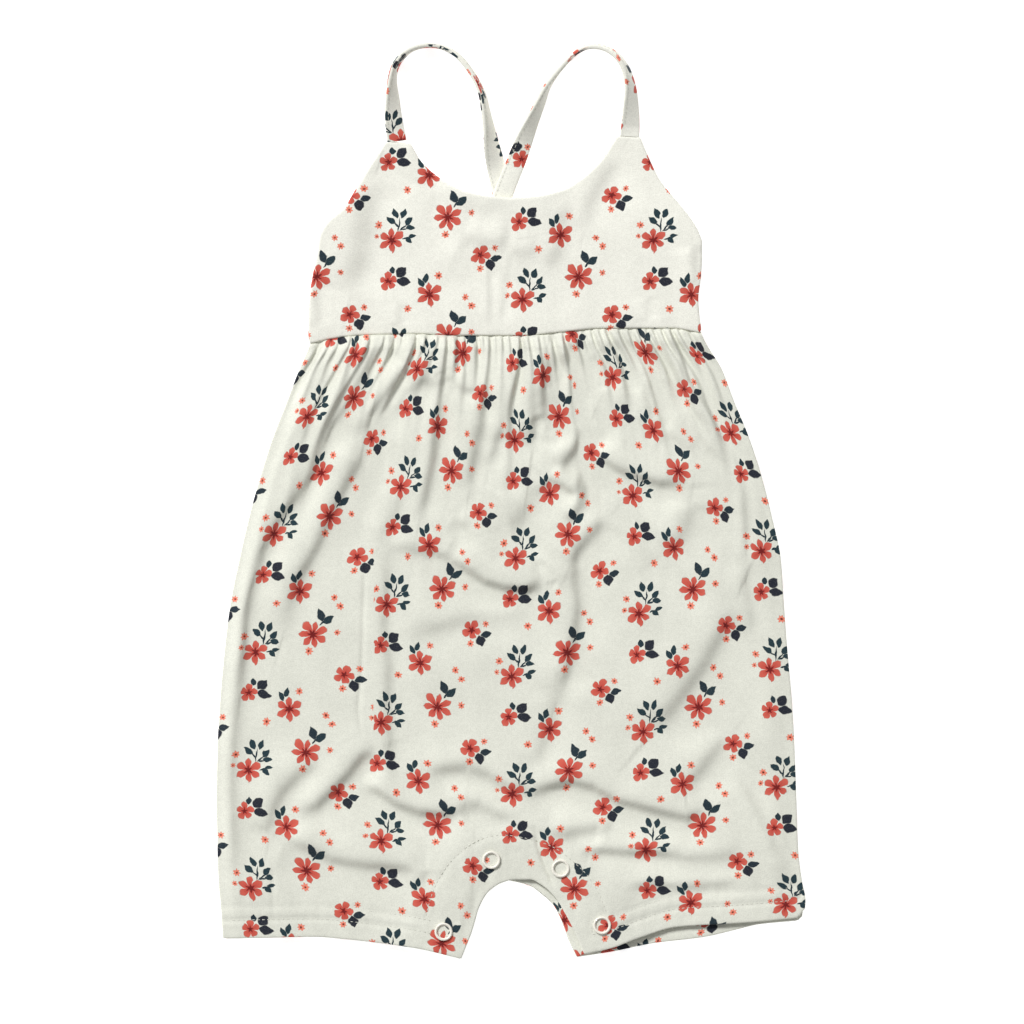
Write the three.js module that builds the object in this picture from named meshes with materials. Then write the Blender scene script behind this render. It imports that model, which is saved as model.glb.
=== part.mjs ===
import * as THREE from "three";

// A baby romper laid flat on its back: a smooth doubled bodice, gathered bubble shorts, straps that
// cross at the back and a snap crotch. Millimetres, +X to the right as seen, +Y towards the straps,
// +Z up out of the front. Tables are in the garment's own places, with y up from its middle.

// Driving sizes.
const SEAM_GAP = 0.3;
const PANEL_THICK = 1.6;
const BODICE_THICK = 2.4;
const BODICE_HALF = 105;
const BODICE_EDGE_DROP = 0.7;
const BACK_INSET = 1;
const STRAP_WIDTH = 10.5;
const STRAP_THICK = 1.8;
const STRAP_STEPS = 44;
const PLACKET_WIDTH = 24;
const PLACKET_THICK = 1.2;
const PLACKET_BLEND = 8;
const HEM_DEPTH = 18;
const HEM_EXTRA = 0.4;
const SNAP_OUTER = 5;
const SNAP_INNER = 3.4;
const SNAP_HEIGHT = 1.1;
const SNAP_CROWN = 0.35;
const SNAP_FLAT = 11;

// Names the columns of a short table.
const table = (columns, rows) => {
  const names = columns.split(" ");
  return rows.map((row) => Object.fromEntries(names.map((name, i) => [name, row[i]])));
};

// The shorts' sides, from the waist down.
const SHORTS_SIDES = table("y left right", [
  [96, -109.5, 103],
  [87, -110.5, 107],
  [72, -116.5, 116],
  [55, -123, 122.5],
  [33, -131.5, 131.5],
  [11, -138.5, 138.5],
  [-11, -144.5, 144],
  [-33, -149.5, 148.5],
  [-55, -154, 150],
  [-82, -157.5, 152],
  [-110, -160, 154.5],
  [-137, -161.5, 156],
  [-165, -162, 157],
  [-192, -161.5, 158],
  [-209, -161, 160],
  [-220, -160, 162],
  [-226, -159.5, 161.5],
  [-241, -158.5, 158],
]);

// The bodice's sides, from the underarm down.
const BODICE_SIDES = table("y left right", [
  [147, -105, 105],
  [134, -107, 105],
  [124, -109, 104.5],
  [111, -111, 103],
  [103, -111.5, 103.5],
  [93, -111.5, 104.5],
  [86, -111, 104.5],
]);

// The waist seam.
const WAIST = table("x y", [
  [-112, 86.5],
  [-101, 89],
  [-86.5, 91],
  [-53, 92],
  [-27.5, 91],
  [5.5, 91],
  [28.5, 93],
  [51, 95],
  [90, 95],
  [100.5, 93.5],
  [108, 91.5],
]);

// The front bodice's upper edge: armhole, strap end, neckline, strap end, armhole.
const BODICE_TOP = table("x y corner", [
  [-106, 145],
  [-102, 152.5],
  [-91.5, 162],
  [-85.5, 171.5],
  [-78, 184],
  [-69, 197.5, 1],
  [-56.5, 196.5, 1],
  [-50.5, 186.5],
  [-40, 177.5],
  [-28, 171],
  [-16, 168],
  [-1, 166.5],
  [14.5, 167.5],
  [29, 171],
  [41.5, 178.5],
  [51.5, 188.5],
  [59.5, 200.5, 1],
  [71, 200, 1],
  [76, 188],
  [82, 176.5],
  [94, 162],
  [102, 151],
  [106, 141.5],
]);

// The front's lower edge: left leg hem, crotch arch, right leg hem.
const FRONT_LOW = table("x y corner", [
  [-163, -241],
  [-134, -240.5],
  [-109, -240],
  [-89.5, -241.5],
  [-72, -243.5],
  [-51.5, -246.5],
  [-28, -252, 1],
  [-22.5, -238],
  [-18, -223.5],
  [-12.5, -215],
  [-4.5, -210],
  [2, -208.5],
  [11, -208.5],
  [18, -212],
  [25, -218.5],
  [30, -226.5],
  [35.5, -237],
  [41, -249.5, 1],
  [56, -246],
  [72, -240],
  [91.5, -234.5],
  [124, -232.5],
  [143, -231],
  [158, -229.5, 1],
  [163, -223],
]);

// The back's lower edge, which shows past the front's at the arch and along the right leg.
const BACK_LOW = table("x y corner", [
  [-163, -240],
  [-134, -239.5],
  [-109, -239],
  [-72, -242.5],
  [-51.5, -245.5],
  [-29, -250.5, 1],
  [-24, -237.5],
  [-19.5, -222.5],
  [-13.5, -213.5],
  [-5, -208.5],
  [2, -209.5],
  [11, -212],
  [18, -217],
  [24, -223],
  [28, -231],
  [32, -241.5],
  [36.5, -251, 1],
  [56, -248],
  [78, -243.5],
  [106.5, -240],
  [124, -236],
  [137, -233],
  [158, -231, 1],
  [163, -226],
]);
const ARCH_LEFT = -28;
const ARCH_RIGHT = 41;
const BACK_ARCH_LEFT = -29;
const BACK_ARCH_RIGHT = 36.5;
const ARCH_MIDDLE = -225;
const ARCH_FOOT = -250;

// The gathers' valleys along the waist seam: place, depth and length below the seam.
const GATHERS = table("at deep long", [
  [-104.5, 1.3, 34],
  [-98.5, 1.1, 20],
  [-93.5, 0.9, 16],
  [-87.5, 1.4, 46],
  [-83.5, 0.9, 15],
  [-77, 1.5, 60],
  [-69, 1.2, 24],
  [-63.5, 1.3, 42],
  [-59.5, 0.9, 16],
  [-52, 1.6, 62],
  [-46, 1, 20],
  [-39.5, 1.1, 18],
  [-35, 1.5, 48],
  [-29.5, 1, 18],
  [-25, 1.2, 30],
  [-18.5, 1.1, 20],
  [-15, 0.9, 14],
  [-11.5, 1.2, 34],
  [-8, 0.9, 14],
  [-4.5, 1.1, 22],
  [-0.5, 0.9, 16],
  [5, 1.6, 50],
  [10, 1, 16],
  [15.5, 1.2, 26],
  [22.5, 1.2, 22],
  [29, 1.6, 52],
  [36, 1.4, 22],
  [40, 0.8, 14],
  [45, 1.2, 30],
  [49.5, 0.8, 14],
  [53.5, 1.4, 26],
  [60.5, 1, 18],
  [66, 1.5, 42],
  [71, 0.9, 14],
  [75.5, 1.2, 24],
  [79.5, 0.8, 14],
  [84, 1.1, 22],
  [89, 1.5, 50],
  [93.5, 1, 18],
  [99, 1.3, 34],
]);
const GATHER_NARROW = 1.35;
const GATHER_SPREAD = 0.05;
const GATHER_SINK = 1.5;
// How much of the folds is lost on the facing and round a snap, and how softly the cloth comes to
// rest on what lies under it.
const CALM_LOSS = 0.85;
const REST_SOFT = 0.8;

// The shorts' larger folds: each is a soft ridge (or a trough, if high is below 0) along a line of
// up to four places, wide on its left and right as one walks the line.
const FOLDS = table("high left right line", [
  [-2, 8, 8, [[-88, 55], [-116, 17], [-135, -16], [-143, -55]]],
  [1.3, 8, 8, [[-75, 63], [-98, 22], [-120, -10], [-133, -52]]],
  [-1.9, 8, 8, [[-61, 72], [-80, 28], [-105, -5], [-123, -49]]],
  [2.4, 7, 13, [[-76, 40], [-77, -30], [-77, -100], [-76, -135]]],
  [-1.6, 6, 6, [[-66, -5], [-66, -60], [-66, -110], [-65, -160]]],
  [-2.2, 8, 8, [[26, 45], [24, 25], [22, 0], [24, -12]]],
  [1.8, 8, 8, [[36, 44], [60, 25], [84, 14], [96, 12]]],
  [1.8, 8, 8, [[40, -38], [60, -24], [93, -5], [99, 12]]],
  [1.5, 7, 7, [[-58, -15], [-30, -21], [-8, -32], [14, -37]]],
  [-1.9, 6, 6, [[-61, -26], [-33, -33], [-10, -45], [18, -46]]],
  [-1.1, 9, 9, [[-56, -68], [-22, -71], [2, -67], [12, -60]]],
  [1.5, 7, 7, [[22, -50], [18, -90], [14, -120], [10, -145]]],
  [-1.9, 6, 6, [[27, -22], [35, -55], [32, -88], [27, -112]]],
  [-1.7, 7, 7, [[122, 14], [128, -30], [127, -60], [126, -80]]],
  [-1.5, 8, 8, [[126, -80], [115, -92], [105, -100], [96, -106]]],
  [1.5, 8, 8, [[-122, -166], [-94, -143], [-76, -134], [-70, -132]]],
  [-1.2, 7, 7, [[-112, -146], [-122, -154], [-132, -165], [-138, -175]]],
  [1.4, 7, 7, [[-52, -149], [-22, -145], [5, -155], [14, -160]]],
  [-1.5, 6, 6, [[-80, -159], [-39, -170], [-10, -168], [27, -166]]],
  [1.5, 7, 7, [[27, -146], [60, -148], [93, -145], [126, -129]]],
  [-1.5, 6, 6, [[35, -152], [60, -162], [93, -170], [112, -176]]],
  [1.2, 7, 7, [[-122, -181], [-88, -191], [-60, -193], [-48, -191]]],
  [-1, 6, 6, [[-116, -192], [-88, -201], [-60, -204], [-48, -203]]],
  [-1.1, 6, 6, [[34, -192], [71, -190], [95, -191], [115, -194]]],
  [-1, 6, 6, [[131, -152], [142, -172], [150, -188], [159, -203]]],
]);

// The bodice's soft dents.
const DENTS = table("high left right line", [
  [-0.6, 6, 6, [[-83, 172], [-82, 155], [-80, 135], [-79, 112]]],
  [-0.5, 8, 8, [[-20, 152], [-10, 147], [-3, 143], [4, 140]]],
]);

// The straps, from the front bodice over the loop to the back: place, roll in degrees about the
// strap's own line, and the least height of its middle.
const LEFT_STRAP = table("x y roll lay", [
  [-62.9, 198.6, 0, 1.9],
  [-64.4, 208, 22, 2.4],
  [-65.2, 219, 42, 2.4],
  [-65.3, 231, 68, 2.4],
  [-63, 240, 76, 2.4],
  [-57, 247, 82, 2.4],
  [-48, 250.4, 86, 2.4],
  [-38, 249.7, 88, 2.4],
  [-29, 244.3, 92, 2.4],
  [-21.5, 235, 97, 2.4],
  [-16.5, 225, 102, 2.4],
  [-13.8, 214, 111, 2.4],
  [-12, 204, 124, 2],
  [-10.2, 193, 148, 1.2],
  [-7.8, 181.5, 176, 1],
  [-5.4, 170.5, 180, 1],
  [-1.8, 148, 180, 1],
]);
const RIGHT_STRAP = table("x y roll lay", [
  [65.2, 201.4, 0, 1.9],
  [65.7, 208, 20, 2.4],
  [65.9, 217, 38, 2.4],
  [65.5, 227, 58, 2.4],
  [63.5, 236.5, 72, 2.4],
  [58.5, 244.5, 79, 2.4],
  [50.5, 249.3, 84, 2.4],
  [41.5, 249.5, 87, 2.4],
  [33.5, 244.4, 90, 2.4],
  [26, 236.5, 94, 2.4],
  [20, 228, 102, 2.4],
  [16, 219, 116, 2.6],
  [11.8, 209, 132, 3],
  [7.2, 198, 154, 3.2],
  [2.2, 185, 178, 3.2],
  [-3.3, 171, 180, 3.2],
  [-11.5, 148, 180, 3.2],
]);
const STRAP_CLEAR = 0.1;

// The snaps' centres: one each side of the crown of the arch and one at each leg hem.
const SNAPS = table("x y", [
  [-10.8, -197.7],
  [27.3, -202.4],
  [-37.1, -237.2],
  [50.1, -233.7],
]);

const clamp = THREE.MathUtils.clamp;
const mix = THREE.MathUtils.lerp;
const smooth = (from, to, value) => {
  const t = clamp((value - from) / (to - from), 0, 1);
  return t * t * (3 - 2 * t);
};

// A smooth function through a table's rows, one column against another. It never swings past a row,
// and it keeps the corner at a row whose corner column is 1.
function through(rows, across, along) {
  const sorted = [...rows].sort((a, b) => a[across] - b[across]);
  const widths = sorted.slice(1).map((row, i) => row[across] - sorted[i][across]);
  const slants = sorted.slice(1).map((row, i) => (row[along] - sorted[i][along]) / widths[i]);
  const slopeAt = (i, own) => {
    const [before, after] = [slants[i - 1], slants[i]];
    if (before === undefined || after === undefined || sorted[i].corner) return own;
    if (before * after <= 0) return 0;
    return (2 * before * after) / (before + after);
  };
  return (value) => {
    const last = sorted.length - 2;
    let i = 0;
    while (i < last && sorted[i + 1][across] < value) i += 1;
    const [a, b] = [sorted[i], sorted[i + 1]];
    const t = clamp((value - a[across]) / widths[i], 0, 1);
    const [from, to] = [slopeAt(i, slants[i]), slopeAt(i + 1, slants[i])];
    const straight = mix(a[along], b[along], t);
    const bend = (1 - t) * (from - slants[i]) - t * (to - slants[i]);
    return straight + t * (1 - t) * widths[i] * bend;
  };
}

// A panel's outline: its sides against y, and its upper and lower edges against x. A column is
// numbered from -1 at the left side to 1 at the right, and fans out with the sides.
function outline(sides, top, low, inset = 0) {
  const left = through(sides, "y", "left");
  const right = through(sides, "y", "right");
  const topAt = through(top, "x", "y");
  const lowAt = through(low, "x", "y");
  const half = (y) => (right(y) - left(y)) / 2 - inset;
  const across = (s, y) => (left(y) + right(y)) / 2 + s * half(y);
  const edge = (s, rule, start) => {
    let y = start;
    for (let i = 0; i < 12; i += 1) y = rule(across(s, y));
    return y;
  };
  const upper = (s) => edge(s, topAt, top[0].y);
  const lower = (s) => edge(s, lowAt, low[0].y);
  const column = (x, y) => (x - across(0, y)) / half(y);
  return { across, half, upper, lower, column };
}

// The height of a ridge or trough at a place: full along its line, and soft at its ends.
function foldHeight(fold, x, y) {
  const steps = fold.line.length - 1;
  let nearest = { gap: Infinity };
  fold.line.slice(0, -1).forEach(([ax, ay], i) => {
    const [bx, by] = fold.line[i + 1];
    const [dx, dy] = [bx - ax, by - ay];
    const t = clamp(((x - ax) * dx + (y - ay) * dy) / (dx * dx + dy * dy), 0, 1);
    const gap = Math.hypot(x - ax - t * dx, y - ay - t * dy);
    const side = dx * (y - ay) - dy * (x - ax);
    if (gap < nearest.gap) nearest = { gap, side, along: (i + t) / steps };
  });
  const width = nearest.side > 0 ? fold.left : fold.right;
  const ends = smooth(-0.1, 0.25, nearest.along) * smooth(1.1, 0.75, nearest.along);
  return fold.high * ends * Math.exp(-((nearest.gap / width) ** 2));
}

// A closed wall over rows of columns, from its outer and its inner points. Rows run down the
// garment, each with its own columns from left to right, so a row can be finer than the next.
function wall(rows, outerAt, innerAt) {
  const points = [];
  const faces = [];
  const place = (at) =>
    rows.map(({ v, columns }) => columns.map((s) => points.push(...at(s, v)) / 3 - 1));
  const outer = place(outerAt);
  const inner = place(innerAt);
  const both = (a, b, c, twin) => {
    faces.push(a, b, c);
    faces.push(twin(a), twin(c), twin(b));
  };
  const shift = inner[0][0] - outer[0][0];
  const twin = (index) => index + shift;
  for (let j = 0; j < rows.length - 1; j += 1) {
    const [above, below] = [rows[j].columns, rows[j + 1].columns];
    let [i, k] = [0, 0];
    while (i < above.length - 1 || k < below.length - 1) {
      const stepAbove = i < above.length - 1 ? above[i + 1] + above[i] : Infinity;
      const stepBelow = k < below.length - 1 ? below[k + 1] + below[k] : Infinity;
      if (stepAbove <= stepBelow) {
        both(outer[j][i], outer[j + 1][k], outer[j][i + 1], twin);
        i += 1;
      } else {
        both(outer[j + 1][k], outer[j + 1][k + 1], outer[j][i], twin);
        k += 1;
      }
    }
  }
  const rim = (from, to) => {
    faces.push(from, to, twin(to));
    faces.push(from, twin(to), twin(from));
  };
  const [first, last] = [outer[0], outer[outer.length - 1]];
  first.slice(1).forEach((point, i) => rim(first[i], point));
  last.slice(1).forEach((point, i) => rim(point, last[i]));
  outer.slice(1).forEach((row, j) => {
    rim(row[0], outer[j][0]);
    rim(outer[j][outer[j].length - 1], row[row.length - 1]);
  });
  return closedGeometry(points, faces);
}

function closedGeometry(points, faces) {
  const geometry = new THREE.BufferGeometry();
  geometry.setAttribute("position", new THREE.Float32BufferAttribute(points, 3));
  geometry.setIndex(faces);
  geometry.computeVertexNormals();
  return geometry;
}

// Even steps from one value to another.
const steps = (count, from = -1, to = 1) =>
  Array.from({ length: count + 1 }, (_, i) => mix(from, to, i / count));

// Merges lists of columns, leaving out those closer than the least step.
function columnsOf(least, fixed, extra) {
  const kept = [...fixed];
  extra.forEach((s) => {
    if (kept.every((other) => Math.abs(other - s) > least)) kept.push(s);
  });
  return kept.sort((a, b) => a - b);
}

const cloth = new THREE.MeshStandardMaterial({ color: 0xeaece0, roughness: 0.9 });
const lining = new THREE.MeshStandardMaterial({ color: 0xeeeee4, roughness: 0.9 });
const pearl = new THREE.MeshStandardMaterial({ color: 0xf3efe4, roughness: 0.35 });

function piece(name, geometry, material) {
  const mesh = new THREE.Mesh(geometry, material);
  mesh.name = name;
  return mesh;
}

// The distance from a place to the back's crotch arch.
const ARCH_LINE = BACK_LOW.filter(({ x }) => x >= BACK_ARCH_LEFT && x <= BACK_ARCH_RIGHT);
function archDistance(x, y) {
  let least = Infinity;
  ARCH_LINE.slice(1).forEach((b, i) => {
    const a = ARCH_LINE[i];
    const [dx, dy] = [b.x - a.x, b.y - a.y];
    const t = clamp(((x - a.x) * dx + (y - a.y) * dy) / (dx * dx + dy * dy), 0, 1);
    least = Math.min(least, Math.hypot(x - a.x - t * dx, y - a.y - t * dy));
  });
  return least;
}

// The shorts.
const front = outline(SHORTS_SIDES, WAIST, FRONT_LOW);
const BACK_TOP = PANEL_THICK;
const FRONT_LEAST = BACK_TOP + SEAM_GAP + PANEL_THICK;
const PLACKET_RISE = PLACKET_THICK + SEAM_GAP;
const SEAM_BACK_OFF = SEAM_GAP / 2;
const WAIST_LEVEL = 91;
const gatherColumns = GATHERS.map(({ at }) => front.column(at, WAIST_LEVEL));

// How far the cloth sinks in the gathers at a column, a distance below the seam.
function gatherDepth(s, y, below) {
  const half = front.half(y);
  const start = mix(0.75, 1, smooth(0, 8, below));
  return GATHERS.reduce((sum, { deep, long }, i) => {
    const width = GATHER_NARROW + GATHER_SPREAD * below;
    const away = (s - gatherColumns[i]) * half;
    const fade = 1 - smooth(long * 0.35, long, below);
    return sum + deep * start * fade * Math.exp(-((away / width) ** 2));
  }, 0);
}

// The fullness that the gathers push out: most a little below the seam, then flatter.
const FULL_AT_SEAM = 1.7;
const FULL_BELOW_SEAM = 3.9;
const FULL_AT_LEG = 1.4;
const fullness = (below) =>
  FULL_AT_SEAM +
  (FULL_BELOW_SEAM - FULL_AT_SEAM) * smooth(0, 22, below) -
  (FULL_BELOW_SEAM - FULL_AT_LEG) * smooth(30, 120, below);
const hemExtra = (above) => HEM_EXTRA * smooth(HEM_DEPTH + 2, HEM_DEPTH - 2, above);
const onPlacket = (x, y) =>
  smooth(PLACKET_WIDTH + PLACKET_BLEND, PLACKET_WIDTH + 1, archDistance(x, y));
const nearSnap = (x, y) =>
  Math.max(...SNAPS.map((snap) => smooth(SNAP_FLAT + 6, SNAP_FLAT, Math.hypot(x - snap.x, y - snap.y))));

function frontHeight(s, y, top, low) {
  const x = front.across(s, y);
  const below = top - y;
  const fromSide = (1 - Math.abs(s)) * front.half(y);
  const round = smooth(-1, 12, fromSide);
  const calm = 1 - CALM_LOSS * Math.max(onPlacket(x, y), nearSnap(x, y));
  const folds = FOLDS.reduce((sum, fold) => sum + foldHeight(fold, x, y), 0);
  const loose = round * (fullness(below) + folds * calm) - gatherDepth(s, y, below) * GATHER_SINK;
  const lifted = 0.5 * (loose + Math.hypot(loose, REST_SOFT));
  return FRONT_LEAST + lifted + PLACKET_RISE * onPlacket(x, y) + hemExtra(y - low) * calm;
}

// Rows of columns down the shorts: fine in the gathers and at the arch, wider between.
function shortsRows() {
  const ends = [-1, 1];
  const valleys = gatherColumns;
  const inner = valleys.slice(1).flatMap((s, i) => [0.25, 0.5, 0.75].map((t) => mix(valleys[i], s, t)));
  const ridges = valleys.slice(1).map((s, i) => (s + valleys[i]) / 2);
  const outerEdges = [-0.985, 0.985];
  const fine = columnsOf(0.004, [...ends, ...valleys], [...inner, ...outerEdges]);
  const middle = columnsOf(0.006, [...ends, ...valleys], [...ridges, ...outerEdges]);
  const even = steps(38);
  const lowColumns = FRONT_LOW.map(({ x }) => front.column(x, ARCH_MIDDLE));
  const archColumns = lowColumns.filter((s) => Math.abs(s) < 0.95);
  const archSpan = [ARCH_LEFT, ARCH_RIGHT].map((x) => front.column(x, ARCH_FOOT));
  const archFine = steps(24, ...archSpan);
  const wide = columnsOf(0.012, [...ends, -0.97, 0.97], even);
  const last = columnsOf(0.008, [...ends, ...archSpan], [...archFine, -0.97, 0.97, ...even, ...archColumns]);
  const row = (v, columns) => ({ v, columns });
  return [
    ...[0, 0.008, 0.02, 0.034, 0.05].map((v) => row(v, fine)),
    ...[0.07, 0.095, 0.12, 0.15].map((v) => row(v, middle)),
    ...steps(20, 0.18, 0.84).map((v) => row(v, wide)),
    ...[0.875, 0.91, 0.94, 0.97, 1].map((v) => row(v, last)),
  ];
}

function frontShorts() {
  const at = (drop) => (s, v) => {
    const top = front.upper(s) - SEAM_BACK_OFF;
    const low = front.lower(s);
    const y = mix(top, low, v);
    return [front.across(s, y), y, frontHeight(s, y, top, low) - drop];
  };
  return piece("front_shorts", wall(shortsRows(), at(0), at(PANEL_THICK)), cloth);
}

// The back lies flat on the surface under the front.
function backShorts() {
  const back = outline(SHORTS_SIDES, WAIST, BACK_LOW, BACK_INSET);
  const span = [BACK_ARCH_LEFT, BACK_ARCH_RIGHT].map((x) => back.column(x, ARCH_FOOT));
  const columns = columnsOf(0.01, [-1, 1, ...span], [...steps(20, ...span), ...steps(20)]);
  const rows = [0, 0.15, 0.35, 0.55, 0.75, 0.9, 1].map((v) => ({ v, columns }));
  const at = (z) => (s, v) => {
    const y = mix(back.upper(s) - SEAM_BACK_OFF, back.lower(s), v);
    return [back.across(s, y), y, z];
  };
  return piece("back_shorts", wall(rows, at(BACK_TOP), at(0)), cloth);
}

// The strip that faces the back's arch, under the front's edge.
function backPlacket() {
  const line = new THREE.CatmullRomCurve3(
    ARCH_LINE.map(({ x, y }) => new THREE.Vector3(x, y, 0)),
    false,
    "centripetal",
  );
  const low = BACK_TOP + SEAM_GAP;
  const high = low + PLACKET_THICK;
  const rows = [1, 0].map((v) => ({ v, columns: steps(30, 0, 1) }));
  const at = (z) => (u, v) => {
    const place = line.getPointAt(u);
    const along = line.getTangentAt(u);
    const away = v * PLACKET_WIDTH;
    return [place.x - along.y * away, place.y + along.x * away, z];
  };
  return piece("back_placket", wall(rows, at(high), at(low)), lining);
}

// The bodice.
const bodiceOutline = outline(BODICE_SIDES, BODICE_TOP, WAIST);
const BODICE_REST = BODICE_THICK + SEAM_GAP;
const BODICE_OVER_STRAPS = 4.5;
const SHOULDER_REST = 0.5;
const BACK_TOP_EDGE = 144;
const CROSSING_AT = -4;

// The underside of the front bodice: on the back bodice, over the straps, and down at the shoulders.
function bodiceUnder(x, y) {
  const shoulder = mix(BODICE_REST, SHOULDER_REST, smooth(150, 186, y));
  const overStraps = smooth(118, 140, y) * smooth(40, 20, Math.abs(x - CROSSING_AT));
  return mix(shoulder, BODICE_OVER_STRAPS, overStraps);
}

function frontBodice() {
  const corners = BODICE_TOP.map(({ x }) => clamp(x / BODICE_HALF, -1, 1));
  const columns = columnsOf(0.012, [-1, 1, ...corners.slice(1, -1)], steps(36));
  const rows = [0, 0.06, 0.18, 0.32, 0.48, 0.64, 0.8, 0.93, 1].map((v) => ({ v, columns }));
  const place = (s, v) => {
    const top = bodiceOutline.upper(s);
    const low = bodiceOutline.lower(s) + SEAM_BACK_OFF;
    const y = mix(top, low, v);
    return [bodiceOutline.across(s, y), y];
  };
  const under = (s, v) => {
    const [x, y] = place(s, v);
    return [x, y, bodiceUnder(x, y)];
  };
  const over = (s, v) => {
    const [x, y] = place(s, v);
    const dents = DENTS.reduce((sum, dent) => sum + foldHeight(dent, x, y), 0);
    const edge = smooth(0, 3, (1 - Math.abs(s)) * BODICE_HALF) * smooth(0, 0.05, v) * smooth(1, 0.95, v);
    return [x, y, bodiceUnder(x, y) + BODICE_THICK - BODICE_EDGE_DROP * (1 - edge) + dents * edge];
  };
  return piece("front_bodice", wall(rows, over, under), cloth);
}

function backBodice() {
  const straight = table("x y", [[-112, BACK_TOP_EDGE - 4], [0, BACK_TOP_EDGE], [106, BACK_TOP_EDGE - 6]]);
  const back = outline(BODICE_SIDES, straight, WAIST, BACK_INSET);
  const rows = [0, 0.25, 0.5, 0.75, 1].map((v) => ({ v, columns: steps(20) }));
  const at = (z) => (s, v) => {
    const y = mix(back.upper(s), back.lower(s) + SEAM_BACK_OFF, v);
    return [back.across(s, y), y, z];
  };
  return piece("back_bodice", wall(rows, at(BODICE_THICK), at(0)), cloth);
}

// A strap is a flat tube whose section rolls about its line: flat where it is sewn on, on edge round
// the loop, and turned over where it passes behind the neckline.
function strap(name, rows) {
  const halfWidth = STRAP_WIDTH / 2;
  const halfThick = STRAP_THICK / 2;
  const bevel = halfThick * 0.5;
  const section = [
    [halfWidth, halfThick - bevel],
    [halfWidth - bevel, halfThick],
    [bevel - halfWidth, halfThick],
    [-halfWidth, halfThick - bevel],
    [-halfWidth, bevel - halfThick],
    [bevel - halfWidth, -halfThick],
    [halfWidth - bevel, -halfThick],
    [halfWidth, bevel - halfThick],
  ];
  const path = new THREE.CatmullRomCurve3(rows.map(({ x, y }) => new THREE.Vector3(x, y, 0)));
  const turns = new THREE.CatmullRomCurve3(rows.map(({ roll, lay }) => new THREE.Vector3(roll, lay, 0)));
  const points = [];
  const faces = [];
  for (let i = 0; i <= STRAP_STEPS; i += 1) {
    const t = i / STRAP_STEPS;
    const place = path.getPoint(t);
    const along = path.getTangent(t);
    const turn = turns.getPoint(t);
    const roll = THREE.MathUtils.degToRad(clamp(turn.x, 0, 180));
    const [sine, cosine] = [Math.sin(roll), Math.cos(roll)];
    const standing = halfWidth * sine + halfThick * Math.abs(cosine) + STRAP_CLEAR;
    const middle = Math.max(turn.y, standing);
    section.forEach(([wide, thick]) => {
      const flat = wide * cosine - thick * sine;
      const up = wide * sine + thick * cosine;
      points.push(place.x - along.y * flat, place.y + along.x * flat, middle + up);
    });
  }
  const count = section.length;
  for (let i = 0; i < STRAP_STEPS; i += 1) {
    for (let k = 0; k < count; k += 1) {
      const next = (k + 1) % count;
      const [a, b] = [i * count + k, i * count + next];
      const [c, d] = [a + count, b + count];
      faces.push(a, b, d, a, d, c);
    }
  }
  const end = STRAP_STEPS * count;
  for (let k = 1; k < count - 1; k += 1) {
    faces.push(0, k + 1, k);
    faces.push(end, end + k, end + k + 1);
  }
  return piece(name, closedGeometry(points, faces), cloth);
}

// An open ring cap, seated on the highest of the cloth's points under it.
function snapCap(name, snap, carrier) {
  const middle = (SNAP_OUTER + SNAP_INNER) / 2;
  const profile = [
    [SNAP_INNER, 0],
    [SNAP_OUTER, 0],
    [SNAP_OUTER, SNAP_HEIGHT * 0.5],
    [middle + SNAP_CROWN, SNAP_HEIGHT],
    [middle - SNAP_CROWN, SNAP_HEIGHT],
    [SNAP_INNER, SNAP_HEIGHT * 0.5],
    [SNAP_INNER, 0],
  ].map(([r, z]) => new THREE.Vector2(r, z));
  const ring = new THREE.LatheGeometry(profile, 20);
  ring.rotateX(Math.PI / 2);
  const down = new THREE.Vector3(0, 0, -1);
  const heights = [SNAP_INNER, middle, SNAP_OUTER].flatMap((r) =>
    steps(24, 0, Math.PI * 2).map((angle) => {
      const from = new THREE.Vector3(snap.x + r * Math.cos(angle), snap.y + r * Math.sin(angle), 50);
      const [hit] = new THREE.Raycaster(from, down).intersectObject(carrier);
      return hit.point.z;
    }),
  );
  const cap = piece(name, ring, pearl);
  cap.position.set(snap.x, snap.y, Math.max(...heights) + SEAM_GAP);
  return cap;
}

const romper = new THREE.Group();
const frontPanel = frontShorts();
frontPanel.updateMatrixWorld();
romper.add(
  frontPanel,
  backShorts(),
  backPlacket(),
  frontBodice(),
  backBodice(),
  strap("left_strap", LEFT_STRAP),
  strap("right_strap", RIGHT_STRAP),
  ...SNAPS.map((snap, i) => snapCap(`snap_cap_${i + 1}`, snap, frontPanel)),
);

// The origin is the middle of the surface it lies on.
romper.updateMatrixWorld(true);
const box = new THREE.Box3().setFromObject(romper);
const centre = box.getCenter(new THREE.Vector3());
romper.position.set(-centre.x, -centre.y, -box.min.z);

export default romper;
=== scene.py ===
"""A baby romper laid flat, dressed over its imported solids.

Sizes are millimetres in the garment's own places, as in its part source, and become metres in the
frame's places when a mesh is made. Every panel is a thin shell over the height of its own cloth.
"""
import math

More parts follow.
